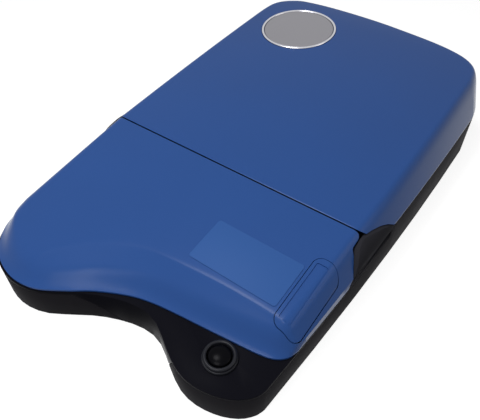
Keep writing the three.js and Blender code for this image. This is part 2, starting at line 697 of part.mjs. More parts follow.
function scanCarriage() {
  const { half: reach, bottom, plate, wall: side } = carriage;
  const front = carriageFront;
  const web = webFront;
  const back = carriageBack;
  const floorTop = bottom + plate;
  const armBottom = film.bottom + film.height + film.plate + light.diffuser + 2 * clearance;
  const armTop = armBottom + light.height;
  const lightBack = film.centre + light.depth / 2;
  let body = box(-reach, reach, front, back, bottom, floorTop);
  body = body.add(box(-reach, reach, web, back, bottom, rods.z - side).subtract(
    box(-reach + side, reach - side, web - overrun, back - side, floorTop, beyond)));
  body = body.add(box(-reach, reach, web, web + side, bottom, armTop));
  body = body.add(box(-reach, reach, lightBack + clearance, web + side, armBottom, armTop));
  body = body.subtract(box(-reach + 2 * side, reach - 2 * side, web - overrun,
    web + side + overrun, floorTop,
    rods.z - 2 * side));
  const lean = (mirror.height + mirror.thickness) * Math.SQRT1_2;
  body = body.add(prismX([[front, floorTop - runningGap], [film.centre + lean / 2 - clearance,
    floorTop - runningGap],
    [front, floorTop + film.centre + lean / 2 - clearance - front]], -mirror.length / 2, mirror.length / 2)
    .intersect(box(-beyond, beyond, front, beyond, 0, deckTop - deckThickness - clearance)));
  const saddle = box(-lens.radius - side, lens.radius + side, lensFront + lens.stepLength, lensFront
    + lens.length - lens.stepLength, floorTop - runningGap, opticalHeight());
  body = body.add(saddle).subtract(barY(0, opticalHeight(), lens.radius + clearance,
    lensFront - overrun, lensFront
    + lens.length + overrun));
  [-1, 1].forEach((sideways) => [web + side, back - 2 * rods.bearingLength].forEach((start) => {
    const inner = sideways * (reach - side);
    const outer = sideways * rods.wing;
    body = body.add(box(Math.min(inner, outer), Math.max(inner, outer), start, start + rods.bearingLength,
      rods.z - rods.bearing, rods.z + rods.bearing - side));
    body = body.add(box(rods.x * sideways - rods.bearing, rods.x * sideways + rods.bearing, start, start
      + rods.bearingLength, rods.z - rods.bearing, rods.z + rods.bearing));
    body = body.subtract(barY(rods.x * sideways, rods.z, rods.radius + clearance, start - overrun, start
      + rods.bearingLength + overrun));
  }));
  body = body.add(box(reach - side, drive.x - drive.nutSide / 2 - clearance, nutBack - drive.nutSide,
    nutBack, rods.z - rods.bearing - drive.armThickness, rods.z - rods.bearing));
  body = body.add(box(rods.x + rods.bearing - side, drive.x + drive.nutSide / 2, nutBack - drive.nutSide,
    nutBack, rods.z - drive.nutSide / 2 - clearance - drive.armThickness, rods.z - drive.nutSide / 2
    - clearance));
  return body;
}

// Height of the lens, the mirror's centre and the sensor over the table.
function opticalHeight() {
  return carriage.bottom + carriage.plate + clearance + lens.radius;
}

function foldMirror() {
  const geometry = new THREE.BoxGeometry(mirror.length, mirror.height, mirror.thickness);
  geometry.rotateX(-Math.PI / 4);
  const rise = (mirror.height + mirror.thickness) * Math.SQRT1_2 / 2;
  const z = carriage.bottom + carriage.plate + rise + clearance;
  geometry.translate(0, film.centre + mirror.thickness + clearance, z);
  return solid(geometry);
}

function lensBarrel() {
  const z = opticalHeight();
  const back = lensFront + lens.length;
  return barY(0, z, lens.radius, lensFront + lens.stepLength, back)
    .add(barY(0, z, lens.radius - lens.step, lensFront, lensFront + lens.stepLength + runningGap))
    .subtract(barY(0, z, lens.bore, lensFront - overrun, back + overrun, fine));
}

function lensGlass() {
  const r = lens.bore - clearance;
  const geometry = new THREE.SphereGeometry(r, fine, 12);
  geometry.scale(1, lens.glass / r / 2, 1);
  geometry.translate(0, lensFront + lens.glass, opticalHeight());
  return solid(geometry);
}

// A helical spring standing upright.
function spring(x, y, z0, z1) {
  const points = [];
  const steps = coil.turns * 8;
  for (let i = 0; i <= steps; i += 1) {
    const angle = (i / 8) * Math.PI * 2;
    const z = THREE.MathUtils.lerp(z0 + coil.wire, z1 - coil.wire, i / steps);
    points.push(new THREE.Vector3(x + coil.radius * Math.cos(angle), y + coil.radius * Math.sin(angle), z));
  }
  const section = new THREE.Shape();
  section.absarc(0, 0, coil.wire, 0, Math.PI * 2);
  const shape = new THREE.Shape(section.getPoints(5).slice(0, 5));
  const path = new THREE.CatmullRomCurve3(points);
  return solid(new THREE.ExtrudeGeometry(shape, { steps, bevelEnabled: false, extrudePath: path }));
}

function powerButton() {
  const top = deckTop + power.ringRise;
  const flangeTop = deckTop - deckThickness - clearance;
  const flangeBottom = flangeTop - cap.flangeThickness;

    const switchTop = buttonBoard.bottom + buttonBoard.thickness + buttonSwitch.height
      + buttonSwitch.capHeight;
  const bossBottom = switchTop + 3 * clearance + cap.travel;
  const profile = [
    [0, bossBottom], [cap.boss, bossBottom], [cap.boss, flangeBottom], [cap.flange, flangeBottom],
    [cap.flange, flangeTop], [cap.radius, flangeTop], [cap.radius, top - cap.dome / 2],
    [cap.radius * 0.86, top + cap.dome * 0.3], [cap.radius * 0.55, top + cap.dome * 0.8], [0,
    top + cap.dome],
  ];
  return turned(profile, powerX, powerY);
}

function powerRing() {
  const low = deckTop + clearance;
  const profile = [
    [power.bore + clearance, low], [power.collar, low], [power.collar, low + power.collarRise - clearance],
    [power.ring, low + power.collarRise], [power.ring, low + power.ringRise - clearance],
    [power.ring - clearance, low + power.ringRise], [power.bore + 2 * clearance, low + power.ringRise],
    [power.bore + clearance, low + power.ringRise - clearance], [power.bore + clearance, low],
  ];
  return turned(profile, powerX, powerY);
}

function badgeRecess() {
  return onRearTop(barZ(0, 0, badge.radius + clearance, -badge.recess, overrun, 40));
}

// Lays a piece that is modelled flat at the origin on the sloping rear cover at the badge.
function onRearTop(body) {
  const geometry = drawn(body);
  geometry.rotateX(rearSlope);
  geometry.translate(badgeX, badgeY, seamHeight + badgeY * Math.tan(rearSlope));
  return solid(geometry);
}

function badgeRim() {
  const low = clearance - badge.recess;
  const inner = badge.radius - badge.rim;
  const profile = [
    [inner, low], [badge.radius, low], [badge.radius, low + badge.rimHeight - badge.rim / 3],
    [badge.radius - badge.rim / 3, low + badge.rimHeight], [inner + badge.rim / 3, low + badge.rimHeight],
    [inner, low + badge.rimHeight - badge.rim / 3], [inner, low],
  ];
  return onRearTop(turned(profile, 0, 0, 40));
}

function badgeDisc() {
  const low = clearance - badge.recess;
  return onRearTop(barZ(0, 0, badge.radius - badge.rim - clearance, low, low + badge.disc, 40));
}

function noticeLabel() {
  const geometry = new THREE.BoxGeometry(labelRight - labelLeft, labelFront - labelBack, label.thickness);
  geometry.rotateX(frontSlope);
  const y = -(labelFront + labelBack) / 2;
  geometry.translate((labelLeft + labelRight) / 2, y, seamHeight + y * Math.tan(frontSlope) + runningGap
    + label.thickness / 2);
  return solid(geometry);
}

function baseScrew(x, y) {
  const low = footLift + screw.countersink;
  return turned([
    [0, low], [screw.head, low], [screw.head, low + screw.headHeight], [screw.shank,
    low + screw.headHeight],
    [screw.shank, screw.postTop + screw.engaged / 3], [0, screw.postTop + screw.engaged / 3],
  ], x, y, coarse);
}

function rodBracket(x0, x1, y0) {
  let body = box(x0, x1, y0, y0 + bracket.thickness, footLift + floorThickness + clearance, bracket.top);
  [[-rods.x, rods.radius], [rods.x, rods.radius], [drive.x, drive.screw]].forEach(([x, radius]) => {
    if (x > x0 && x < x1) {
      body = body.subtract(barY(x, rods.z, radius + clearance, y0 - overrun,
        y0 + bracket.thickness + overrun));
    }
  });
  return body;
}

function rearBracket() {
  const right = drive.x + motor.radius;
  const left = -rods.x - bracket.halfWidth;
  let body = rodBracket(left, right, bracketRear);
  body = body.add(box(drive.x - motor.radius, right, bracketRear, bracketRear + bracket.thickness,
    bracket.top - runningGap, rods.z + motor.radius));
  motorScrewPlaces().forEach(([x, z]) => {
    body = body.subtract(barY(x, z, screw.shank + clearance, bracketRear - overrun, bracketRear
      + bracket.thickness + overrun));
  });
  return body.subtract(box(-carriage.half, carriage.half, bracketRear - overrun, bracketRear
    + bracket.thickness + overrun, bracket.top - overrun, bracket.top + overrun));
}

function motorScrewPlaces() {
  const d = motor.screwSpacing * Math.SQRT1_2;
  return [[drive.x - d, rods.z + d], [drive.x + d, rods.z - d]];
}

function stepperMotor() {
  const start = bracketRear + bracket.thickness + clearance;
  let body = barY(drive.x, rods.z, motor.radius, start, start + motor.length, fine);
  body = body.subtract(barY(drive.x, rods.z, motor.bore, start - overrun, start + motor.boreDepth));
  motorScrewPlaces().forEach(([x, z]) => {
    body = body.subtract(barY(x, z, screw.shank + clearance, start - overrun, start + motor.boreDepth));
  });
  return body;
}

function motorScrew(x, z) {
  const start = bracketRear - clearance;
  const head = barY(x, z, screw.head - clearance, start - screw.headHeight, start);
  return head.add(barY(x, z, screw.shank, start - runningGap,
    start + bracket.thickness + motor.boreDepth / 2));
}

function mainBoard() {
  const top = board.bottom + board.thickness;
  let body = box(boardLeft, boardRight, boardFront, boardBack, board.bottom, top);
  const chipAt = (x, y, side, rise) => box(x, x + side, y, y + side, top - runningGap, top + rise);
  const middle = (boardLeft + boardRight) / 2;
  body = body.add(chipAt(middle + board.chip / 2, boardFront + smallPost, board.chip, board.thickness));
  body = body.add(chipAt(boardLeft + board.chip, boardFront + smallPost, board.chip / 2,
    board.thickness * 2));
  return body;
}

function usbSocket() {
  const bottom = board.bottom + board.thickness + clearance;
  const back = rearEdge(usbX / half) - socketInset;
  const body = box(usbX - usb.width / 2, usbX + usb.width / 2, back - usb.depth, back, bottom,
    bottom + usb.height);
  const middle = bottom + usb.height / 2;
  const mouth = box(usbX - usb.mouthWidth / 2, usbX + usb.mouthWidth / 2, back - usb.mouthDepth,
    back + overrun,
    middle - usb.mouthHeight / 2, middle + usb.mouthHeight / 2);
  const tongue = box(usbX - usb.mouthWidth / 3, usbX + usb.mouthWidth / 3,
    back - usb.mouthDepth - runningGap,
    back - usb.mouthDepth / 4, middle - usb.mouthHeight / 5, middle + usb.mouthHeight / 5);
  return body.subtract(mouth).add(tongue);
}

function powerSocket() {
  const bottom = board.bottom + board.thickness + clearance;
  const back = rearEdge(jackX / half) - socketInset;
  const middle = bottom + jack.height / 2;
  return box(jackX - jack.width / 2, jackX + jack.width / 2, back - jack.depth, back, bottom,
    bottom + jack.height)
    .subtract(barY(jackX, middle, jack.mouth, back - jack.mouthDepth, back + overrun, fine))
    .add(barY(jackX, middle, jack.pin, back - jack.mouthDepth - runningGap,
      back - jack.mouthDepth / 4, 12));
}

function tactSwitch(x, y, low, size) {
  const reach = size.side / 2;
  return box(x - reach, x + reach, y - reach, y + reach, low, low + size.height)
    .add(barZ(x, y, size.cap, low + size.height - runningGap, low + size.height + size.capHeight, coarse));
}

// Finishes, as colour, roughness and metalness.
const finishes = {
  bluePlastic: [0x2f5190, 0.42, 0],
  glossBlack: [0x0a0a0d, 0.12, 0],
  mattBlack: [0x2b2b2d, 0.6, 0],
  greyPlastic: [0x47474b, 0.4, 0],
  darkCap: [0x0c0c0f, 0.25, 0],
  film: [0x55719f, 0.35, 0],
  silver: [0x9a9a9e, 0.3, 1],
  steel: [0xa5a8ac, 0.35, 1],
  brass: [0xb08d3c, 0.4, 1],
  rubber: [0x1b1b1b, 0.9, 0],
  board: [0x1f5a34, 0.5, 0],
  chip: [0x1a1a1c, 0.5, 0],
  glass: [0xcfd8dc, 0.05, 0],
  diffuser: [0xf2f2ee, 0.6, 0],
};

const scanner = new THREE.Group();
const pieces = new THREE.Group();
pieces.position.y = (frontReach - rearReach) / 2;
scanner.add(pieces);

function place(name, body, finish) {
  const [color, roughness, metalness] = finishes[finish];
  const mesh = new THREE.Mesh(drawn(body), new THREE.MeshStandardMaterial({ color, roughness, metalness }));
  mesh.name = name;
  pieces.add(mesh);
}

// Casing.
const covers = dome(0, -overrun);
const coverSkin = covers.subtract(dome(skin, -2 * overrun));
place('base_tray', baseTray(), 'mattBlack');
place('mid_chassis', midChassis(covers), 'glossBlack');
place('rear_cover', rearCover(coverSkin), 'bluePlastic');
place('front_cover', frontCover(coverSkin), 'bluePlastic');
footPlaces().forEach(([name, x, y]) => place(name, barZ(x, y, foot.radius, 0, foot.height), 'rubber'));
screwPlaces.forEach(([x, y], i) => place(`base_screw_${i + 1}`, baseScrew(x, y), 'steel'));

// Hinge pins and catch of the lid.
[['left', -1], ['right', 1]].forEach(([name, side]) => {
  const { y, z } = hingeAxis();
  const reach = hinge.ear / 2 + hinge.knuckle;
  place(`hinge_pin_${name}`, barX(y, z, hinge.pin, side * hingePlace - reach,
    side * hingePlace + reach), 'steel');
  place(`slot_flap_${name}`, slotFlap(side), 'glossBlack');
});
place('latch_magnet', barZ(magnetX, magnetY, magnet.radius, deckTop - magnet.height - clearance, deckTop
  - clearance, coarse), 'steel');
place('catch_plate', barZ(magnetX, magnetY, magnet.radius - clearance, deckTop + clearance,
  deckTop + clearance
  + magnet.plate, coarse), 'steel');

// Key, badge and sticker.
place('scan_key', scanKey(coverSkin), 'bluePlastic');
place('key_board', box(keyBoardLeft, keyBoardRight, -keyBoardFront, -keyBoardBack, keyBoard.bottom,
  keyBoard.bottom + keyBoard.thickness), 'board');
place('key_switch', tactSwitch(keyStemX(), -(keyFront + keyBack) / 2, keyBoard.bottom + keyBoard.thickness
  + runningGap, keySwitch), 'chip');
place('badge_rim', badgeRim(), 'silver');
place('badge_disc', badgeDisc(), 'silver');
place('notice_label', noticeLabel(), 'film');

// Power button.
place('power_ring', powerRing(), 'greyPlastic');
place('power_button', powerButton(), 'darkCap');
place('button_board', box(powerX - buttonBoard.length / 2, powerX + buttonBoard.length / 2, powerY
  - buttonBoard.depth / 2, powerY + buttonBoard.depth / 2, buttonBoard.bottom, buttonBoard.bottom
  + buttonBoard.thickness), 'board');
place('button_switch', tactSwitch(powerX, powerY, buttonBoard.bottom + buttonBoard.thickness + runningGap,
  buttonSwitch), 'chip');
place('button_spring', spring(powerX, powerY,
  buttonBoard.bottom + buttonBoard.thickness + clearance, deckTop
  - deckThickness - 2 * clearance - cap.flangeThickness), 'steel');

// Film channel, light and optics.
place('film_guide', filmGuide(), 'mattBlack');
place('scan_carriage', scanCarriage(), 'greyPlastic');
const lightTop = film.bottom + film.height + film.plate + light.diffuser + 2 * clearance;
place('light_panel', box(-light.length / 2, light.length / 2, film.centre - light.depth / 2, film.centre
  + light.depth / 2, lightTop, lightTop + light.height), 'silver');
place('light_diffuser', box(-light.length / 2, light.length / 2, film.centre - light.depth / 2, film.centre
  + light.depth / 2, lightTop - clearance - light.diffuser, lightTop - clearance), 'diffuser');
place('fold_mirror', foldMirror(), 'glass');
place('lens_barrel', lensBarrel(), 'chip');
place('lens_glass', lensGlass(), 'glass');
const sensorBoardFront = carriageBack - carriage.wall - clearance - sensorBoard.thickness;
place('ccd_board', box(-carriage.half + carriage.wall + clearance,
  carriage.half - carriage.wall - clearance,
  sensorBoardFront, sensorBoardFront + sensorBoard.thickness,
  carriage.bottom + carriage.plate + clearance, carriage.bottom
  + carriage.plate + sensorBoard.height), 'board');
place('ccd_sensor', box(-sensor.length / 2, sensor.length / 2, sensorBoardFront - clearance - sensor.depth,
  sensorBoardFront - clearance, opticalHeight() - sensor.height / 2,
  opticalHeight() + sensor.height / 2), 'chip');

// Carriage drive.
place('guide_rod_left', barY(-rods.x, rods.z, rods.radius, bracketFront, bracketRear
  + bracket.thickness), 'steel');
place('guide_rod_right', barY(rods.x, rods.z, rods.radius, bracketFront, bracketRear
  + bracket.thickness), 'steel');
place('lead_screw', barY(drive.x, rods.z, drive.screw, bracketFront, bracketRear + bracket.thickness
  + motor.boreDepth - clearance), 'steel');
place('lead_nut', box(drive.x - drive.nutSide / 2, drive.x + drive.nutSide / 2, nutBack - drive.nutSide,
  nutBack, rods.z - drive.nutSide / 2, rods.z + drive.nutSide / 2).subtract(barY(drive.x, rods.z,
  drive.screw
  + clearance, 0, length)), 'brass');
place('rod_bracket_left', rodBracket(-rods.x - bracket.halfWidth, -rods.x + bracket.halfWidth,
  bracketFront), 'steel');
place('rod_bracket_right', rodBracket(rods.x - bracket.halfWidth, drive.x + bracket.halfWidth,
  bracketFront), 'steel');
place('rear_bracket', rearBracket(), 'steel');
place('stepper_motor', stepperMotor(), 'steel');
motorScrewPlaces().forEach(([x, z], i) => place(`motor_screw_${i + 1}`, motorScrew(x, z), 'steel'));

// Main board and sockets.
place('main_board', mainBoard(), 'board');
place('usb_socket', usbSocket(), 'steel');
place('power_socket', powerSocket(), 'chip');

export default scanner;
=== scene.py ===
import json
import math

import bpy
import numpy as np
from mathutils import Matrix, Vector


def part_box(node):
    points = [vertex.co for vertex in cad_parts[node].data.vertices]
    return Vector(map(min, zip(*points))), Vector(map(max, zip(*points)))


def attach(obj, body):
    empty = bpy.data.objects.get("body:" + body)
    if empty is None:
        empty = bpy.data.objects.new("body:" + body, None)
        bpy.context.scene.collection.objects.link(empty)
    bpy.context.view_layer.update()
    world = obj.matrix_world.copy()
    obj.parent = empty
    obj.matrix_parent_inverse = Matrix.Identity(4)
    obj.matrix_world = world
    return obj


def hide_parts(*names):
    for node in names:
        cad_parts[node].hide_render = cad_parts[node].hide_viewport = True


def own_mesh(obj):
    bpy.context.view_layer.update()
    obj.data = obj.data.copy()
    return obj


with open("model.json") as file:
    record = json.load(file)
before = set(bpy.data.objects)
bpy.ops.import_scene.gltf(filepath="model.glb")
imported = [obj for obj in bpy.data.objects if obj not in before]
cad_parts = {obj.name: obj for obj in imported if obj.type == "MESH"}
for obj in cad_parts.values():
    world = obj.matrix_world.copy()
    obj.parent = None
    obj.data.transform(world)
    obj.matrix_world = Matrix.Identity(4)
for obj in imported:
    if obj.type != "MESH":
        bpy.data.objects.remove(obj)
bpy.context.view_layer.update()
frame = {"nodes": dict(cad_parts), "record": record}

mm = 0.001
seamY = -38.0            # the seam between the two covers, from the middle of the object
farOut = 300.0           # mm, past every side of the object
overhead = 60.0          # mm, above its top
overrun = 1.0            # mm, by which a slot's cutter starts outside the piece
weldGap = 0.001          # mm, within which the ends of a spun profile are one point
least = 1e-9             # keeps a division from meeting zero
nodes = frame["nodes"]
bodyOf = {n: b for b, names in frame["record"]["behaviour"]["bodies"].items() for n in names}


def linear(code, alpha=1.0):
    values = [int(code[i:i + 2], 16) / 255 for i in (1, 3, 5)]
    return [v / 12.92 if v <= 0.04045 else ((v + 0.055) / 1.055) ** 2.4 for v in values] + [alpha]


def addNode(tree, kind, settings=None, inputs=None):
    node = tree.nodes.new(kind)
    for name, value in (settings or {}).items():
        setattr(node, name, value)
    for name, value in (inputs or {}).items():
        if isinstance(value, bpy.types.NodeSocket):
            tree.links.new(value, node.inputs[name])
        else:
            node.inputs[name].default_value = value
    return node


def deselect():
    if bpy.context.object and bpy.context.object.mode != "OBJECT":
        bpy.ops.object.mode_set(mode="OBJECT")
    bpy.ops.object.select_all(action="DESELECT")


def activate(obj):
    deselect()
    obj.select_set(True)
    bpy.context.view_layer.objects.active = obj


def applyModifiers(obj):
    activate(obj)
    for modifier in list(obj.modifiers):
        bpy.ops.object.modifier_apply(modifier=modifier.name)


def settle(obj):
    activate(obj)
    bpy.ops.object.transform_apply(location=True, rotation=True, scale=True)


def combine(obj, tool, operation):
    modifier = obj.modifiers.new("combine", "BOOLEAN")
    modifier.operation = operation
    modifier.solver = "MANIFOLD"
    modifier.object = tool
    applyModifiers(obj)
    bpy.data.objects.remove(tool)


def roundEdges(obj, width, segments, angle):
    modifier = obj.modifiers.new("edge", "BEVEL")
    modifier.width = width * mm
    modifier.segments = segments
    modifier.limit_method = "ANGLE"
    modifier.angle_limit = math.radians(angle)
    modifier.use_clamp_overlap = True
    applyModifiers(obj)


def smooth(obj, angle):
    activate(obj)
    bpy.ops.object.shade_smooth_by_angle(angle=math.radians(angle))


def finishPiece(obj, body, material, slotName, *replaced):
    obj.data.materials.clear()
    obj.data.materials.append(material)
    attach(obj, body)
    if replaced:
        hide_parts(*replaced)
    return obj


# The camera stands in front to the right and looks down over the lid.
camera = {
    "place": (122.5, -188.7, 201.9),
    "turn": 36.85,       # degrees towards the left of straight ahead
    "tilt": 44.99,       # degrees below the horizon
    "roll": -0.37,
    "sensor": 36.0,      # mm
    "lens": 37.5225,     # mm
    "nearest": 10.0,     # mm
}


def makeCamera():
    turn, tilt, roll = (math.radians(camera[k]) for k in ("turn", "tilt", "roll"))
    ahead = Vector((-math.sin(turn) * math.cos(tilt), math.cos(turn) * math.cos(tilt), -math.sin(tilt)))
    across = Vector((math.cos(turn), math.sin(turn), 0))
    up = across.cross(ahead)
    right = across * math.cos(roll) + up * math.sin(roll)
    top = -across * math.sin(roll) + up * math.cos(roll)
    data = bpy.data.cameras.new("camera")
    data.lens = camera["lens"]
    data.sensor_width = camera["sensor"]
    data.clip_start = camera["nearest"] * mm
    obj = bpy.data.objects.new("camera", data)
    bpy.context.collection.objects.link(obj)
    matrix = Matrix((right, top, -ahead)).transposed().to_4x4()
    matrix.translation = Vector(camera["place"]) * mm
    obj.matrix_world = matrix
    bpy.context.scene.camera = obj


makeCamera()
print("camera placed")


# A pale floor, a main lamp above the left half, a broad one high in front, a weak one on the right
# and a faint light from all round.
studio = {
    "floorSize": 6000.0,
    "floor": "#9c9c9a",
    "floorGlow": 0.84,
    "ambient": "#eef1f6",
    "ambientStrength": 0.18,
    "lamps": [   # name, place and aim in mm, size in mm, watts, colour
        ("mainLamp", (-110, -92, 500), (0, -60, 30), 170, 1.27, "#fbfbff"),
        ("frontLamp", (60, -340, 400), (0, -70, 30), 240, 1.12, "#fbfbff"),
        ("sideLamp", (560, 160, 260), (60, 20, 20), 340, 0.55, "#fff6f0"),
    ],
}


def showsWhite(tree):
    # 1 for the camera, for reflections and for what glass lets through, else 0
    path = addNode(tree, "ShaderNodeLightPath")
    seen = addNode(tree, "ShaderNodeMath", {"operation": "MAXIMUM"},
                   {0: path.outputs["Is Camera Ray"], 1: path.outputs["Is Glossy Ray"]})
    return addNode(tree, "ShaderNodeMath", {"operation": "MAXIMUM"},
                   {0: seen.outputs[0], 1: path.outputs["Is Transmission Ray"]}).outputs[0]


def makeFloor():
    deselect()
    bpy.ops.mesh.primitive_plane_add(size=studio["floorSize"] * mm, location=(0, 0, 0))
    floor = bpy.context.object
    floor.name = "floor"
    material = bpy.data.materials.new("floorPaper")
    material.use_nodes = True
    tree = material.node_tree
    tree.nodes.clear()
    out = addNode(tree, "ShaderNodeOutputMaterial")
    glowing = addNode(tree, "ShaderNodeMath", {"operation": "MULTIPLY"},
                      {0: showsWhite(tree), 1: studio["floorGlow"]})
    paper = addNode(tree, "ShaderNodeBsdfDiffuse", None, {"Color": linear(studio["floor"])})
    glow = addNode(tree, "ShaderNodeEmission", None, {"Strength": glowing.outputs[0]})
    both = addNode(tree, "ShaderNodeAddShader", None, {0: paper.outputs[0], 1: glow.outputs[0]})
    tree.links.new(both.outputs[0], out.inputs["Surface"])
    floor.data.materials.append(material)


def makeWorld():
    world = bpy.data.worlds.new("studio")
    bpy.context.scene.world = world
    world.use_nodes = True
    tree = world.node_tree
    tree.nodes.clear()
    out = addNode(tree, "ShaderNodeOutputWorld")
    soft = addNode(tree, "ShaderNodeBackground", None,
                   {"Color": linear(studio["ambient"]), "Strength": studio["ambientStrength"]})
    white = addNode(tree, "ShaderNodeBackground", None, {"Color": (1, 1, 1, 1), "Strength": 1.0})
    mix = addNode(tree, "ShaderNodeMixShader", None,
                  {0: showsWhite(tree), 1: soft.outputs[0], 2: white.outputs[0]})
    tree.links.new(mix.outputs[0], out.inputs["Surface"])


def makeLamps():
    for name, place, aim, size, watts, colour in studio["lamps"]:
        lamp = bpy.data.lights.new(name, "AREA")
        lamp.shape = "DISK"
        lamp.size = size * mm
        lamp.energy = watts
        lamp.color = linear(colour)[:3]
        obj = bpy.data.objects.new(name, lamp)
        bpy.context.collection.objects.link(obj)
        obj.location = Vector(place) * mm
        direction = (Vector(aim) - Vector(place)) * mm
        obj.rotation_euler = direction.to_track_quat("-Z", "Y").to_euler()


makeFloor()
makeWorld()
makeLamps()
bpy.context.scene.view_settings.view_transform = "Standard"
print("studio made")

# What all finishes share: the size in mm of the patches that vary the colour and the gloss, their roughness,
# range and detail as noise, the grain's detail, the least roughness, the index of refraction, how strongly
# the grain turns the light, and the length in metres after which a band texture of scale 1 repeats.
finish = {"patch": 45.0, "patchRoughness": 0.5, "patchRange": (0.3, 0.7), "patchDetail": 3.0,
          "grainDetail": 2.0, "smoothest": 0.01, "ior": 1.5, "relief": 0.6, "bandRepeat": 0.314}


def surface(name, colour, roughness, metallic=0.0, specular=0.5, coat=0.0, coatRoughness=0.1,
            grain=0.3, grainDepth=0.02, mottle=0.03, wear=0.03, etched=None, ribs=None):
    # grain is the size of the moulded or etched texture in mm and grainDepth its height;
    # mottle varies the colour and wear the gloss over some centimetres; etched is a second,
    # dull finish beyond a distance from the middle line and behind a depth; ribs run across an axis and have
    # a pitch and a height
    material = bpy.data.materials.new(name)
    material.use_nodes = True
    tree = material.node_tree
    tree.nodes.clear()
    out = addNode(tree, "ShaderNodeOutputMaterial")
    where = addNode(tree, "ShaderNodeTexCoord").outputs["Object"]
    broad = addNode(tree, "ShaderNodeTexNoise", None,
                    {"Vector": where, "Scale": 1 / (finish["patch"] * mm),
                     "Detail": finish["patchDetail"], "Roughness": finish["patchRoughness"]})
    base = linear(colour)
    tone = addNode(tree, "ShaderNodeMix", {"data_type": "RGBA"},
                   {"Factor": broad.outputs["Fac"], 6: [c * (1 - mottle) for c in base[:3]] + [1],
                    7: [min(1, c * (1 + mottle)) for c in base[:3]] + [1]}).outputs[2]
    low, high = finish["patchRange"]
    gloss = addNode(tree, "ShaderNodeMapRange", None, {
        "Value": broad.outputs["Fac"], "From Min": low, "From Max": high,
        "To Min": max(finish["smoothest"], roughness - wear), "To Max": roughness + wear}).outputs["Result"]
    fine = addNode(tree, "ShaderNodeTexNoise", None,
                   {"Vector": where, "Scale": 1 / (grain * mm), "Detail": finish["grainDetail"]})
    height = fine.outputs["Fac"]
    if etched:
        axes = addNode(tree, "ShaderNodeSeparateXYZ", None, {0: where})
        aside = addNode(tree, "ShaderNodeMath", {"operation": "ABSOLUTE"}, {0: axes.outputs["X"]})
        beyond = addNode(tree, "ShaderNodeMath", {"operation": "GREATER_THAN"},
                         {0: aside.outputs[0], 1: etched["beyond"] * mm})
        behind = addNode(tree, "ShaderNodeMath", {"operation": "GREATER_THAN"},
                         {0: axes.outputs["Y"], 1: etched["behind"] * mm})
        inside = addNode(tree, "ShaderNodeMath", {"operation": "MULTIPLY"},
                         {0: beyond.outputs[0], 1: behind.outputs[0]}).outputs[0]
        tone = addNode(tree, "ShaderNodeMix", {"data_type": "RGBA"},
                       {"Factor": inside, 6: tone, 7: linear(etched["colour"])}).outputs[2]
        gloss = addNode(tree, "ShaderNodeMix", {"data_type": "FLOAT"},
                        {0: inside, 2: gloss, 3: etched["roughness"]}).outputs[0]
    if ribs:
        turned = addNode(tree, "ShaderNodeTexWave", {"wave_type": "BANDS", "bands_direction": ribs["axis"]},
                         {"Vector": where, "Scale": finish["bandRepeat"] / (ribs["pitch"] * mm),
                          "Distortion": 0.0})
        height = addNode(tree, "ShaderNodeMath", {"operation": "MULTIPLY_ADD"},
                         {0: turned.outputs["Fac"], 1: ribs["height"] / grainDepth, 2: height}).outputs[0]
    bump = addNode(tree, "ShaderNodeBump", None,
                   {"Height": height, "Strength": finish["relief"], "Distance": grainDepth * mm})
    shader = addNode(tree, "ShaderNodeBsdfPrincipled", None, {
        "Base Color": tone, "Roughness": gloss, "Metallic": metallic, "IOR": finish["ior"],
        "Specular IOR Level": specular, "Coat Weight": coat, "Coat Roughness": coatRoughness,
        "Normal": bump.outputs["Normal"]})
    tree.links.new(shader.outputs[0], out.inputs["Surface"])
    return material


# Blue ABS from a fine spark-eroded tool: soft broad highlights and no mirror image.
blueAbs = surface("blueMouldedAbs", "#2a4c86", 0.22, specular=0.08, grain=0.5, grainDepth=0.008)
# Black ABS from a polished tool, near black and free of glare; the panels beside the film slot are etched.
frameAbs = surface("blackPolishedAbs", "#121217", 0.24, specular=0.003, grain=2.5, grainDepth=0.003,
                   mottle=0.1, wear=0.02,
                   etched={"beyond": 74, "behind": -56, "colour": "#2c2c30", "roughness": 0.6})
# Black ABS with an etched texture: dull, slightly grey where light grazes it.
baseAbs = surface("blackEtchedAbs", "#1e1d20", 0.6, specular=0.016, grain=0.45, grainDepth=0.02, mottle=0.06,
                  wear=0.04)
# The same plastic in the film's guide inside.
innerAbs = surface("blackInnerAbs", "#1d1d1f", 0.45, specular=0.35, grain=0.5, grainDepth=0.015, mottle=0.06)
# Dark grey ABS as moulded, of the carriage.
greyAbs = surface("greyMouldedAbs", "#303034", 0.4, specular=0.4, grain=0.5, grainDepth=0.01)
# Dark grey ABS with a satin face, of the ring round the power button.
ringAbs = surface("darkGreySatinAbs", "#1a1b20", 0.3, specular=0.12, grain=0.8, grainDepth=0.004)
# Black ABS, polished, of the button's cap.
capAbs = surface("blackButtonAbs", "#07070a", 0.22, specular=0.03, grain=0.8, grainDepth=0.003)
# Matt polyester film over blue plastic reads as a slightly lighter, greyer patch.
labelFilm = surface("mattPolyesterFilm", "#335791", 0.5, specular=0.06, grain=1.2, grainDepth=0.003,
                    mottle=0.02)
# Aluminium: the badge's disc with a satin face and its rim turned bright.
silver = surface("satinAluminium", "#8a898e", 0.34, metallic=1.0, grain=0.25, grainDepth=0.004, mottle=0.03)
rimSilver = surface("turnedAluminium", "#c3c3c8", 0.2, metallic=1.0, grain=0.25, grainDepth=0.002,
                    mottle=0.02)
# Steel with a zinc coat that is duller in patches, and the lead screw with its rolled thread.
zincSteel = surface("zincPlatedSteel", "#9ea0a6", 0.34, metallic=1.0, grain=0.8, grainDepth=0.004,
                    mottle=0.06, wear=0.08)
threadSteel = surface("rolledThreadSteel", "#8e9096", 0.3, metallic=1.0, grain=0.8, grainDepth=0.2,
                      mottle=0.05, ribs={"axis": "Y", "pitch": 2.0, "height": 0.5})
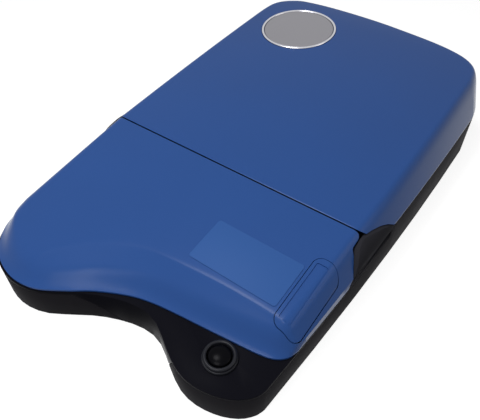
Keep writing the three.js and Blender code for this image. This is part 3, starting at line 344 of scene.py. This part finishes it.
# Turned brass of the screw's nut.
brass = surface("turnedBrass", "#b8913f", 0.3, metallic=1.0, grain=0.3, grainDepth=0.004)
# Moulded rubber of the feet, dull all over.
rubber = surface("mouldedRubber", "#141414", 0.85, specular=0.25, grain=0.6, grainDepth=0.05, mottle=0.1)
# Circuit boards under their green mask, and the black epoxy cases on them.
boardMask = surface("greenSolderMask", "#14502c", 0.4, specular=0.5, grain=0.9, grainDepth=0.01, mottle=0.1)
component = surface("epoxyCase", "#111113", 0.45, specular=0.4, grain=0.3, grainDepth=0.02)
# Milky acrylic in front of the light.
diffuser = surface("opalAcrylic", "#eeeee8", 0.5, specular=0.5, grain=1.5, grainDepth=0.003)
# Glass: the silvered mirror, and the lens with its dark blue coating.
mirrorGlass = surface("silveredGlass", "#dfe3e6", 0.03, metallic=1.0, grain=3.0, grainDepth=0.0005,
                      wear=0.01)
clearGlass = surface("coatedLensGlass", "#1e2a44", 0.04, specular=0.8, coat=1.0, coatRoughness=0.02,
                     grain=3.0, grainDepth=0.0005, wear=0.01)
print("materials made")

# The casing in mm and degrees, with its outlines as shares across the half width and along the reach from
# the seam.
casing = {
    "half": 84.0, "narrowing": 5.8, "widest": 95.0, "narrowAtShare": 0.78, "frontReach": 102.0,
    "rearReach": 178.0, "seamHeight": 39.0, "rearSlope": 4.9, "frontSlope": 7.7, "coverBottom": 18.9,
    "rearBottom": 26.4, "skin": 2.4, "gap": 0.4,
    # the top bends towards level from this height on, over this much more of it
    "levelFrom": 51.9, "levelReach": 2.6,
    # the sides slope from this far inside the outline, with a soft start and down by these shares of the wall
    "flankStart": 6.8, "flankSoft": 2.6, "flankRearShare": 0.95, "flankFrontShare": 0.72,
    # the crease keeps these distances from the front edge at the lobe and at the corner
    "lobeReach": 12.0, "cornerReach": 4.0, "reachTurn": (-0.5, 0.5), "creaseBlend": 2.0, "leastSlope": 1.0,
    "creaseRound": 0.7, "creaseRiseShare": 0.25, "frontEdgeRise": 3.2,
    # where the two covers end at the seam, and the rounding of their edges there
    "seamEdge": {"front": -0.15, "rear": 0.25}, "seamRound": {"front": 0.35, "rear": 0.9},
    "lidFront": [(-1, -0.68), (-0.975, -0.782), (-0.92, -0.86), (-0.83, -0.927), (-0.72, -0.972),
                 (-0.57, -0.992), (-0.41, -0.97), (-0.255, -0.9), (-0.11, -0.822), (0.065, -0.752),
                 (0.2, -0.719), (0.36, -0.698), (0.55, -0.679), (0.75, -0.658), (0.86, -0.645),
                 (0.935, -0.626), (0.983, -0.59), (1, -0.54)],
    "crease": [(-1, -1), (-0.6, -0.95), (-0.45, -0.8), (-0.36, -0.72), (-0.25, -0.655), (-0.1, -0.597),
               (0.03, -0.567), (0.2, -0.55), (0.5, -0.53), (0.8, -0.527), (1, -0.54)],
    "rear": [(-1, 0.8), (-0.985, 0.865), (-0.93, 0.92), (-0.82, 0.965), (-0.68, 0.99), (-0.4, 1), (0, 0.993),
             (0.35, 0.972), (0.6, 0.95), (0.78, 0.922), (0.9, 0.885), (0.97, 0.838), (1, 0.77)],
}


# How finely the outlines and the covers are cut up; a span is a stretch of shares and its number of rows.
grid = {
    "curveSteps": 60, "outlineSteps": 160, "sideSteps": 40, "columns": 200, "outerBottom": -6.0,
    "innerBottom": -12.0,
    "spans": {
        "front": [(0, 0.12, 7), (0.12, 0.85, 12), (0.85, 1.12, 12), (1.12, 1.9, 12), (1.9, 1.985, 10),
                  (1.985, 2, 7)],
        "rear": [(0, 0.012, 7), (0.012, 0.9, 42), (0.9, 1, 24)],
    },
}


def depthCurve(shares, reach):
    # a smooth curve through the points, as a function from the share across to the depth
    steps = grid["curveSteps"]
    pts = np.array(shares, float) * [1, reach]
    out = []
    for i in range(len(pts) - 1):
        p0, p1 = pts[max(i - 1, 0)], pts[i]
        p2, p3 = pts[i + 1], pts[min(i + 2, len(pts) - 1)]
        for t in np.arange(steps) / steps:
            a, b = (p2 - p0) / 2, (p3 - p1) / 2
            out.append((2 * p1 - 2 * p2 + a + b) * t ** 3 + (-3 * p1 + 3 * p2 - 2 * a - b) * t ** 2
                       + a * t + p1)
    out = np.array(out + [pts[-1]])
    out[:, 1] = np.clip(out[:, 1], -reach, reach)
    order = np.maximum.accumulate(out[:, 0])
    return lambda u: np.interp(u, order, out[:, 1])


lidFront = depthCurve(casing["lidFront"], casing["frontReach"])
creaseLine = depthCurve(casing["crease"], casing["frontReach"])
rearEdge = depthCurve(casing["rear"], casing["rearReach"])


def wallHalf(y):
    share = (y - casing["widest"]) / (casing["widest"] + casing["frontReach"] * casing["narrowAtShare"])
    return casing["half"] - casing["narrowing"] * share ** 2


def smoothStep(x, low, high):
    t = np.clip((x - low) / (high - low), 0, 1)
    return t * t * (3 - 2 * t)


def crowded(count):
    # shares from -1 to 1 that lie closer together near both ends
    return np.sin(np.pi / 2 * (2 * np.arange(count + 1) / count - 1))


def casingOutline(inset):
    u = crowded(grid["outlineSteps"])
    front = np.stack([u * (wallHalf(lidFront(u) + inset) - inset), lidFront(u) + inset], 1)
    v = u[::-1]
    back = np.stack([v * (wallHalf(rearEdge(v) - inset) - inset), rearEdge(v) - inset], 1)
    t = np.linspace(0, 1, grid["sideSteps"])[1:-1]
    right = front[-1][1] + (back[0][1] - front[-1][1]) * t
    left = back[-1][1] + (front[0][1] - back[-1][1]) * t
    return np.concatenate([front, np.stack([wallHalf(right) - inset, right], 1), back,
                           np.stack([inset - wallHalf(left), left], 1)])


def distanceTo(line, x, y):
    best = np.full(x.shape, np.inf)
    for a, b in zip(line, np.roll(line, -1, 0)):
        d = b - a
        t = np.clip(((x - a[0]) * d[0] + (y - a[1]) * d[1]) / max(d @ d, least), 0, 1)
        best = np.minimum(best, np.hypot(x - a[0] - t * d[0], y - a[1] - t * d[1]))
    return best


def creaseAt(u):
    turn = smoothStep(u, *casing["reachTurn"])
    nearest = lidFront(u) + casing["lobeReach"] + (casing["cornerReach"] - casing["lobeReach"]) * turn
    line = creaseLine(u)
    return (line + nearest + np.sqrt((line - nearest) ** 2 + casing["creaseBlend"] ** 2)) / 2


def topHeight(u, y):
    rear = casing["seamHeight"] + y * math.tan(math.radians(casing["rearSlope"]))
    slope = math.tan(math.radians(casing["frontSlope"]))
    lid = casing["seamHeight"] + y * slope
    crease, edge = creaseAt(u), lidFront(u)
    start = casing["seamHeight"] + crease * slope
    low = casing["coverBottom"] + casing["frontEdgeRise"]
    front = start + (low - start) * (crease - y) / np.maximum(crease - edge, least)
    k = casing["creaseRound"]
    ridge = casing["creaseRiseShare"] * k * np.exp(-((lid - front) / k) ** 2)
    blended = (lid + front - np.sqrt((lid - front) ** 2 + k * k)) / 2 + ridge
    return np.where(y >= 0, rear, blended)


def surfaceHeight(u, y, line, inset):
    x = u * (wallHalf(y) - inset)
    height = topHeight(u, y)
    high = np.clip(height - casing["levelFrom"], 0, casing["levelReach"])
    height = height - high ** 2 / (2 * casing["levelReach"])
    within = casing["flankStart"] - distanceTo(line, x, y)
    soft = casing["flankSoft"]
    across = np.where(within > soft, within, np.clip(within + soft, 0, 2 * soft) ** 2 / (4 * soft))
    low = np.where(y >= 0, casing["rearBottom"], casing["coverBottom"])
    share = np.where(y >= 0, casing["flankRearShare"], casing["flankFrontShare"])
    return height - share * (height - low) * across / casing["flankStart"] - inset


outerLine = casingOutline(0)


def topAt(x, y):
    x, y = np.atleast_1d(np.asarray(x, float)), np.atleast_1d(np.asarray(y, float))
    return float(surfaceHeight(x / wallHalf(y), y, outerLine, 0)[0])


def domeSolid(name, part, inset, bottom, lowered=0.0):
    # a grid laid over the height of the top, closed to a flat floor below
    line = outerLine if inset == 0 else casingOutline(inset)
    shares = np.unique(np.concatenate([np.linspace(a, b, n) for a, b, n in grid["spans"][part]]))
    rows, columns = len(shares), grid["columns"]
    u = crowded(columns)
    edge = casing["seamEdge"][part]
    if part == "front":
        front = lidFront(u) + inset
        crease = np.maximum(creaseAt(u), front + casing["leastSlope"])
        first = front[:, None] + (crease - front)[:, None] * np.minimum(shares, 1)[None, :]
        y = first + (edge - crease)[:, None] * np.maximum(shares - 1, 0)[None, :]
    else:
        y = edge + (rearEdge(u) - inset - edge)[:, None] * shares[None, :]
    across = np.repeat(u[:, None], rows, 1)
    z = surfaceHeight(across, y, line, inset) - lowered
    if inset == 0:
        r = casing["seamRound"][part]
        z = z - r * (1 - np.sqrt(1 - np.clip(1 - np.abs(y - edge) / r, 0, 1) ** 2))
    x = across * (wallHalf(y) - inset)
    deselect()
    bpy.ops.mesh.primitive_grid_add(x_subdivisions=columns, y_subdivisions=rows - 1, size=2)
    obj = bpy.context.object
    obj.name = name
    co = np.empty(len(obj.data.vertices) * 3)
    obj.data.vertices.foreach_get("co", co)
    co = co.reshape(-1, 3)
    i = np.rint((co[:, 0] + 1) / 2 * columns).astype(int)
    j = np.rint((co[:, 1] + 1) / 2 * (rows - 1)).astype(int)
    co[:, 0], co[:, 1], co[:, 2] = x[i, j] * mm, (y[i, j] + seamY) * mm, z[i, j] * mm
    obj.data.vertices.foreach_set("co", co.ravel())
    obj.data.update()
    bpy.ops.object.mode_set(mode="EDIT")
    bpy.ops.mesh.select_all(action="SELECT")
    bpy.ops.mesh.extrude_region_move(TRANSFORM_OT_translate={"value": (0, 0, bottom * mm)})
    bpy.ops.transform.resize(value=(1, 1, 0), center_override=(0, 0, bottom * mm))
    bpy.ops.mesh.select_all(action="SELECT")
    bpy.ops.mesh.normals_make_consistent(inside=False)
    bpy.ops.object.mode_set(mode="OBJECT")
    return obj


def outlineSolid(name, points, axis, start, end):
    # a disc whose rim is laid on a flat outline and pulled along one axis; mm, with depths from the seam
    deselect()
    bpy.ops.mesh.primitive_circle_add(vertices=len(points), fill_type="NGON")
    obj = bpy.context.object
    obj.name = name
    order = {"X": (2, 0, 1), "Z": (0, 1, 2)}[axis]
    for vertex, (a, b) in zip(obj.data.vertices, points):
        place = [(a, b, start)[k] for k in order]
        vertex.co = Vector((place[0], place[1] + seamY, place[2])) * mm
    pull = Vector([(0, 0, end - start)[k] for k in order]) * mm
    bpy.ops.object.mode_set(mode="EDIT")
    bpy.ops.mesh.select_all(action="SELECT")
    bpy.ops.mesh.extrude_region_move(TRANSFORM_OT_translate={"value": pull})
    bpy.ops.mesh.select_all(action="SELECT")
    bpy.ops.mesh.normals_make_consistent(inside=False)
    bpy.ops.object.mode_set(mode="OBJECT")
    return obj


def turnedSolid(name, profile, x, y, steps):
    # a closed (radius, height) loop spun about an upright axis
    deselect()
    bpy.ops.mesh.primitive_circle_add(vertices=len(profile), fill_type="NOTHING")
    obj = bpy.context.object
    obj.name = name
    for vertex, (r, z) in zip(obj.data.vertices, profile):
        vertex.co = Vector((x + r, y + seamY, z)) * mm
    bpy.ops.object.mode_set(mode="EDIT")
    bpy.ops.mesh.select_all(action="SELECT")
    bpy.ops.mesh.spin(steps=steps, angle=2 * math.pi, center=(x * mm, (y + seamY) * mm, 0), axis=(0, 0, 1))
    bpy.ops.mesh.select_all(action="SELECT")
    bpy.ops.mesh.remove_doubles(threshold=weldGap * mm)
    bpy.ops.mesh.delete_loose()
    bpy.ops.mesh.select_all(action="SELECT")
    bpy.ops.mesh.normals_make_consistent(inside=False)
    bpy.ops.object.mode_set(mode="OBJECT")
    return obj


def roundRod(name, x, y, radius, low, high, steps=40):
    return turnedSolid(name, [(0, low), (radius, low), (radius, high), (0, high)], x, y, steps)


def roundedRectangle(left, right, front, back, radius, steps=8):
    points = []
    for cx, cy, turn in ((left + radius, front + radius, 180), (right - radius, front + radius, 270),
                         (right - radius, back - radius, 0), (left + radius, back - radius, 90)):
        for k in range(steps + 1):
            a = math.radians(turn + 90 * k / steps)
            points.append((cx + radius * math.cos(a), cy + radius * math.sin(a)))
    return points


# The open wedge under each end of the seam, with its edges as shares of its reach and its height.
notch = {
    "front": 16.0, "back": 26.5, "apexDrop": 2.8,
    "lidShares": [(1, 0), (0.81, 0.32), (0.68, 0.53), (0.54, 0.74), (0.35, 0.91), (0.1, 1)],
    "rearShares": [(0.06, 1), (0.3, 0.93), (0.56, 0.81), (0.77, 0.66), (0.92, 0.5)],
}


def notchEdge():
    # from front to back, as (depth, height)
    apex, low = casing["seamHeight"] - notch["apexDrop"], casing["coverBottom"]
    drop = apex - low
    tail = (casing["rearBottom"] - low) / drop
    first = [(-notch["front"] * s, low + drop * h) for s, h in notch["lidShares"]]
    last = [(notch["back"] * s, low + drop * h) for s, h in notch["rearShares"] + [(1, tail)]]
    return first + [(0, apex)] + last


def trimBelow():
    under = [(-farOut, -farOut), (farOut, -farOut), (farOut, casing["rearBottom"])]
    outline = under + notchEdge()[::-1] + [(-farOut, casing["coverBottom"])]
    return outlineSolid("trim", outline, "X", -farOut, farOut)


def slantBehind(shift):
    # everything behind a plane that leans forward, by 45 degrees, from the top edge of the seam
    h = casing["seamHeight"]
    outline = [(shift - h, 2 * h), (shift + h, 0), (farOut, 0), (farOut, 2 * h)]
    return outlineSolid("slant", outline, "X", -farOut, farOut)


def shellPart(name, part):
    outer = domeSolid(name, part, 0, grid["outerBottom"])
    inner = domeSolid("inner", part, casing["skin"], grid["innerBottom"])
    combine(outer, inner, "DIFFERENCE")
    return outer


# Heights are over the cover; the edges are pairs of how far in from the outside and how far below the top.
badge = {
    "x": -39.2, "y": 132.0, "radius": 24.7, "rim": 1.5, "low": -0.7, "rimTop": 0.8, "discTop": 0.35,
    "gap": 0.3, "recess": 1.0, "recessTop": 8.0, "recessSteps": 96, "steps": 128,
    "rimAngle": 50, "discAngle": 40,
    "rimEdge": [(0, 0.5), (0.15, 0.18), (0.5, 0), (0.9, 0), (1.3, 0.2), (1.5, 0.5)],
    "discEdge": [(0, 0.25), (0.25, 0), (1.2, -0.02)],
}
coverAngle = 32                  # degrees, above which an edge of a cover shows as an edge
bossRoot = casing["skin"] / 2    # mm below the top of a cover, where a boss ends inside its skin


def onRearTop(obj):
    # a piece modelled flat about the origin is laid on the sloping rear cover
    obj.location = (0, -seamY * mm, 0)
    settle(obj)
    obj.rotation_euler = (math.radians(casing["rearSlope"]), 0, 0)
    height = casing["seamHeight"] + badge["y"] * math.tan(math.radians(casing["rearSlope"]))
    obj.location = (badge["x"] * mm, (badge["y"] + seamY) * mm, height * mm)
    settle(obj)
    return obj


def boss(x, y, radius, low):
    return roundRod("boss", x, y, radius, low, topAt(x, y) - bossRoot)


rearScrews = {"x": 70.0, "y": 122.0, "radius": 4.4, "hole": 1.8, "low": 14.1, "holeTop": 27.8}


def makeRearCover():
    cover = shellPart("rearCoverShell", "rear")
    combine(cover, trimBelow(), "DIFFERENCE")
    combine(cover, slantBehind(casing["gap"]), "INTERSECT")
    recess = roundRod("recess", 0, 0, badge["radius"] + badge["gap"], -badge["recess"], badge["recessTop"],
                      badge["recessSteps"])
    combine(cover, onRearTop(recess), "DIFFERENCE")
    for side in (-1, 1):
        x, y = side * rearScrews["x"], rearScrews["y"]
        combine(cover, boss(x, y, rearScrews["radius"], rearScrews["low"]), "UNION")
        combine(cover, roundRod("hole", x, y, rearScrews["hole"], 0, rearScrews["holeTop"]), "DIFFERENCE")
    smooth(cover, coverAngle)
    return finishPiece(cover, "casing", blueAbs, "blue_plastic", "rear_cover")


makeRearCover()
print("rear cover made")

# Rectangles are left, right, front and back. The stem stands over the switch; the relief clears its case.
key = {
    "rectangle": (66.6, 79.0, -56.5, -20.5), "corner": 4.0, "cornerSteps": 12, "gap": 0.3, "low": 23.5,
    "recess": (68.2, 73.8, -53.5, -23.5), "recessCorner": 0.7, "recessDepth": 0.5, "recessLow": 20.0,
    "stemX": 72.6, "stemY": -38.5, "stemRadius": 2.0, "stemLow": 26.3,
    "relief": (69.0, 76.0, -42.1, -34.9), "reliefCorner": 0.4, "reliefLow": 15.0, "reliefTop": 25.3,
}
# A pair of knuckles stands at each side of the lid. A boss is its place, radius and lower end. The tail is
# the cut that lets the lid's rear corners pass the side panels.
lid = {
    "pivotY": -4.5, "pivotZ": 33.5, "place": 62.0, "offset": 4.4, "knuckle": 4.2, "barrel": 2.3,
    "barrelSteps": 16, "rootHeights": (36.4, 36.3), "pinHole": 1.3, "pinSteps": 24, "pinOverrun": 0.3,
    "bosses": [(61.7, -26.2, 2.2, 21.7), (61.7, -51.8, 2.2, 21.7), (-44.0, -86.0, 4.0, 19.9)],
    "tail": [(74.4, 1), (74.4, -0.1), (75.3, -0.4), (75.9, -1.0), (76.2, -1.9), (76.2, -6.4), (76.6, -7.6),
             (78, -8.4), (90, -8.8), (90, 1)],
}


def keyShape(grow):
    left, right, front, back = key["rectangle"]
    return roundedRectangle(left - grow, right + grow, front - grow, back + grow, key["corner"] + grow,
                            key["cornerSteps"])


def addKnuckle(cover, start):
    y, z, barrel, hole = lid["pivotY"], lid["pivotZ"], lid["barrel"], lid["pinHole"]
    end = start + lid["knuckle"]
    arc = [(y + barrel * math.cos(a), z + barrel * math.sin(a))
           for a in np.linspace(math.pi, 2 * math.pi, lid["barrelSteps"])]
    root = [(y + barrel, lid["rootHeights"][0]), (y - barrel, lid["rootHeights"][1])]
    combine(cover, outlineSolid("knuckle", arc + root, "X", start, end), "UNION")
    ring = [(y + hole * math.cos(a), z + hole * math.sin(a))
            for a in np.linspace(0, 2 * math.pi, lid["pinSteps"], endpoint=False)]
    pinHole = outlineSolid("pinHole", ring, "X", start - lid["pinOverrun"], end + lid["pinOverrun"])
    combine(cover, pinHole, "DIFFERENCE")


def makeFrontCover():
    cover = shellPart("frontCoverShell", "front")
    combine(cover, trimBelow(), "DIFFERENCE")
    combine(cover, slantBehind(0), "DIFFERENCE")
    for side in (-1, 1):
        tail = [(side * x, y) for x, y in lid["tail"]]
        combine(cover, outlineSolid("tail", tail, "Z", 0, overhead), "DIFFERENCE")
    for side in (-1, 1):
        for end in (-1, 1):
            addKnuckle(cover, side * lid["place"] + end * lid["offset"] - lid["knuckle"] / 2)
    for place in lid["bosses"]:
        combine(cover, boss(*place), "UNION")
    combine(cover, outlineSolid("opening", keyShape(key["gap"]), "Z", 0, overhead), "DIFFERENCE")
    smooth(cover, coverAngle)
    return finishPiece(cover, "front_lid", blueAbs, "blue_plastic", "front_cover")


def makeKey():
    cap = shellPart("scanKeyCap", "front")
    combine(cap, outlineSolid("shape", keyShape(0), "Z", key["low"], overhead), "INTERSECT")
    floorOfRecess = domeSolid("recessFloor", "front", 0, grid["outerBottom"], lowered=key["recessDepth"])
    pocket = outlineSolid("pocket", roundedRectangle(*key["recess"], key["recessCorner"]), "Z",
                          key["recessLow"], overhead)
    combine(pocket, floorOfRecess, "DIFFERENCE")
    combine(cap, pocket, "DIFFERENCE")
    combine(cap, boss(key["stemX"], key["stemY"], key["stemRadius"], key["stemLow"]), "UNION")
    # the switch below stays clear of the key's side wall when the key is pushed
    relief = outlineSolid("relief", roundedRectangle(*key["relief"], key["reliefCorner"]), "Z",
                          key["reliefLow"], key["reliefTop"])
    combine(cap, relief, "DIFFERENCE")
    smooth(cap, coverAngle)
    return finishPiece(cap, "key", blueAbs, "blue_plastic", "scan_key")


makeFrontCover()
makeKey()
print("lid and key made")

label = {"rectangle": (19.0, 65.0, -51.0, -28.0), "corner": 1.5, "lift": 0.1, "thickness": 0.2,
         "edge": 0.08, "edgeSegments": 2, "edgeAngle": 50, "angle": 40}


def makeLabel():
    film = outlineSolid("noticeFilm", roundedRectangle(*label["rectangle"], label["corner"]), "Z", 0,
                        label["thickness"])
    slope = math.tan(math.radians(casing["frontSlope"]))
    for vertex in film.data.vertices:
        depth = vertex.co.y / mm - seamY
        vertex.co.z += (casing["seamHeight"] + depth * slope + label["lift"]) * mm
    roundEdges(film, label["edge"], label["edgeSegments"], label["edgeAngle"])
    smooth(film, label["angle"])
    return finishPiece(film, "front_lid", labelFilm, "sticker", "notice_label")


def makeBadge():
    r, w, low = badge["radius"], badge["rim"], badge["low"]
    edge = [(r - a, badge["rimTop"] - b) for a, b in badge["rimEdge"]]
    rim = onRearTop(turnedSolid("badgeRing", [(r - w, low), (r, low)] + edge, 0, 0, badge["steps"]))
    smooth(rim, badge["rimAngle"])
    finishPiece(rim, "casing", rimSilver, "silver", "badge_rim")
    inner = r - w - badge["gap"]
    edge = [(inner - a, badge["discTop"] - b) for a, b in badge["discEdge"]]
    profile = [(0, low), (inner, low)] + edge + [(0, edge[-1][1])]
    disc = onRearTop(turnedSolid("badgePlate", profile, 0, 0, badge["steps"]))
    smooth(disc, badge["discAngle"])
    finishPiece(disc, "casing", silver, "silver", "badge_disc")


makeLabel()
makeBadge()
print("label and badge made")

# The ring's edges are pairs of how far in from the collar or the ring, or out from the bore, and how far over
# the deck or below the top. The dome is pairs of a radius and how far it lies below the top.
power = {
    "x": 56.0, "y": -76.02, "steps": 96, "angle": 50, "deck": 18.8,
    "bore": 5.4, "ring": 7.0, "collar": 7.5, "ringTop": 21.4,
    "collarEdge": [(0, 0), (0, 0.55), (0.12, 0.85), (0.4, 1.0)],
    "ringFoot": [(0.25, 1.02), (0.25, 1.4), (0.05, 1.55), (0, 1.9)],
    "ringEdge": [(0.1, 0.4), (0.35, 0.12), (0.75, 0)],
    "boreEdge": [(0.5, 0.04), (0.15, 0.25), (0, 0.7)],
    "stem": 1.5, "flange": 6.0, "flangeBottom": 15.7, "flangeTop": 16.9, "cap": 4.8, "capTop": 22.1,
    "dome": [(4.8, 1.6), (4.72, 1.25), (4.45, 0.95), (3.9, 0.68), (3.2, 0.42), (2.4, 0.22), (1.5, 0.08),
             (0.7, 0.02), (0, 0)],
}


def makePowerButton():
    x, y, low, top = power["x"], power["y"], power["deck"], power["ringTop"]
    profile = [(power["bore"], low)]
    profile += [(power["collar"] - a, low + b) for a, b in power["collarEdge"]]
    profile += [(power["ring"] - a, low + b) for a, b in power["ringFoot"]]
    profile += [(power["ring"] - a, top - b) for a, b in power["ringEdge"]]
    profile += [(power["bore"] + a, top - b) for a, b in power["boreEdge"]]
    ring = turnedSolid("powerBezel", profile, x, y, power["steps"])
    smooth(ring, power["angle"])
    finishPiece(ring, "casing", ringAbs, "grey_plastic", "power_ring")
    stem, flange, bottom = power["stem"], power["flange"], power["flangeBottom"]
    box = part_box("power_button")
    stemLow = box[0][2] / mm
    profile = [(0, stemLow), (stem, stemLow), (stem, bottom), (flange, bottom), (flange, power["flangeTop"]),
               (power["cap"], power["flangeTop"])]
    profile += [(r, power["capTop"] - drop) for r, drop in power["dome"]]
    cap = turnedSolid("powerCap", profile, x, y, power["steps"])
    smooth(cap, power["angle"])
    finishPiece(cap, "button", capAbs, "black_cap", "power_button")


makePowerButton()
print("power button made")

# The edge is pairs of how far in from the outside and how far above the table.
foot = {"x": 60.0, "y": {"front": -70.0, "rear": 150.0}, "radius": 7.0, "height": 1.8, "steps": 48,
        "angle": 45, "edge": [(1.6, 0.3), (1.3, 0), (0.5, 0), (0.12, 0.15), (0, 0.5)]}


def makeFeet():
    r, h = foot["radius"], foot["height"]
    profile = [(0, foot["edge"][0][1])] + [(r - a, b) for a, b in foot["edge"]] + [(r, h), (0, h)]
    for end in ("front", "rear"):
        for side, way in (("left", -1), ("right", 1)):
            pad = turnedSolid(f"rubberFoot{end.title()}{side.title()}", profile, way * foot["x"],
                              foot["y"][end], foot["steps"])
            smooth(pad, foot["angle"])
            finishPiece(pad, "casing", rubber, "rubber", f"foot_{end}_{side}")


# The head's edge is pairs of how far in from the outside and how far above its face; the cross slot has half
# sizes.
screw = {"places": [(-58, -87), (64, -44), (-70, 122), (70, 122)], "low": 1.9, "head": 3.0, "headTop": 3.9,
         "headEdge": [(0.9, 0), (0.35, 0.15), (0.05, 0.6), (0, 1.1)], "shank": 1.5, "top": 16.8,
         "tip": 0.6, "tipLong": 1.0, "slotLong": 1.7, "slotWide": 0.35, "slotDeep": 1.3,
         "steps": 32, "angle": 30}


def makeScrews():
    r, low, shank, top = screw["head"], screw["low"], screw["shank"], screw["top"]
    profile = [(0, low)] + [(r - a, low + b) for a, b in screw["headEdge"]]
    profile += [(r, screw["headTop"]), (shank, screw["headTop"]), (shank, top - screw["tipLong"]),
                (screw["tip"], top), (0, top)]
    for i, (x, y) in enumerate(screw["places"]):
        body = turnedSolid(f"caseScrew{i + 1}", profile, x, y, screw["steps"])
        a, b = screw["slotLong"], screw["slotWide"]
        for w, d in ((a, b), (b, a)):
            slot = [(x - w, y - d), (x + w, y - d), (x + w, y + d), (x - w, y + d)]
            cutter = outlineSolid("slot", slot, "Z", low - overrun, low + screw["slotDeep"])
            combine(body, cutter, "DIFFERENCE")
        smooth(body, screw["angle"])
        finishPiece(body, "casing", zincSteel, "steel", f"base_screw_{i + 1}")


makeFeet()
makeScrews()
print("feet and screws made")

# Points closer than the weld are one, faces within the flat angle are one, and edges above the edge angle
# are rounded.
copying = {"weld": 0.002, "flatAngle": 0.5, "edgeAngle": 38, "segments": 2, "angle": 30}


def dressedCopy(nodeName, pieceName, width, material, slotName, edgeAngle=copying["edgeAngle"]):
    # a node's loose triangles become one clean mesh whose hard edges are slightly rounded
    obj = bpy.data.objects.new(pieceName, nodes[nodeName].data.copy())
    bpy.context.collection.objects.link(obj)
    activate(obj)
    bpy.ops.object.mode_set(mode="EDIT")
    bpy.ops.mesh.select_all(action="SELECT")
    bpy.ops.mesh.remove_doubles(threshold=copying["weld"] * mm)
    bpy.ops.mesh.dissolve_limited(angle_limit=math.radians(copying["flatAngle"]))
    bpy.ops.object.mode_set(mode="OBJECT")
    roundEdges(obj, width, copying["segments"], edgeAngle)
    smooth(obj, copying["angle"])
    return finishPiece(obj, bodyOf[nodeName], material, slotName, nodeName)


# node, name of the dressed piece, edge radius in mm, material, record slot
dressed = [
    ("base_tray", "baseTrayShell", 0.5, baseAbs, "black_matt"),
    ("mid_chassis", "middleFrame", 0.5, frameAbs, "black_gloss"),
    ("film_guide", "filmGuideRail", 0.25, innerAbs, "black_matt"),
    ("scan_carriage", "carriageTray", 0.25, greyAbs, "grey_plastic"),
    ("rear_bracket", "motorBracket", 0.25, zincSteel, "steel"),
    ("rod_bracket_left", "rodHolderLeft", 0.25, zincSteel, "steel"),
    ("rod_bracket_right", "rodHolderRight", 0.25, zincSteel, "steel"),
    ("usb_socket", "dataSocketShell", 0.2, zincSteel, "steel"),
    ("power_socket", "powerSocketBody", 0.25, component, "component"),
    ("stepper_motor", "motorCan", 0.5, zincSteel, "steel"),
    ("lens_barrel", "lensTube", 0.2, component, "component"),
    ("lead_nut", "brassNut", 0.3, brass, "brass"),
    ("main_board", "mainCircuitBoard", 0.1, boardMask, "board"),
    ("slot_flap_left", "dustFlapLeft", 0.12, frameAbs, "black_gloss"),
    ("slot_flap_right", "dustFlapRight", 0.12, frameAbs, "black_gloss"),
]
for row in dressed:
    dressedCopy(*row)

# The spring stands on its foot; keep is the share of its height that it keeps with the button down.
coil = {"x": 56.0, "y": -76.0, "low": 8.9, "keep": 0.93, "edge": 0.05, "edgeAngle": 75}
spring = dressedCopy("button_spring", "returnSpring", coil["edge"], zincSteel, "steel", coil["edgeAngle"])
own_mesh(spring)
print("dressed pieces made")

carriedOver = {
    "light_panel": silver, "light_diffuser": diffuser, "fold_mirror": mirrorGlass, "lens_glass": clearGlass,
    "lead_screw": threadSteel,
}
for name, obj in nodes.items():
    if name in carriedOver:
        material = carriedOver[name]
    elif "board" in name:
        material = boardMask
    elif "switch" in name or "sensor" in name:
        material = component
    else:
        material = zincSteel
    obj.data.materials.clear()
    obj.data.materials.append(material)
print("carried-over nodes finished")
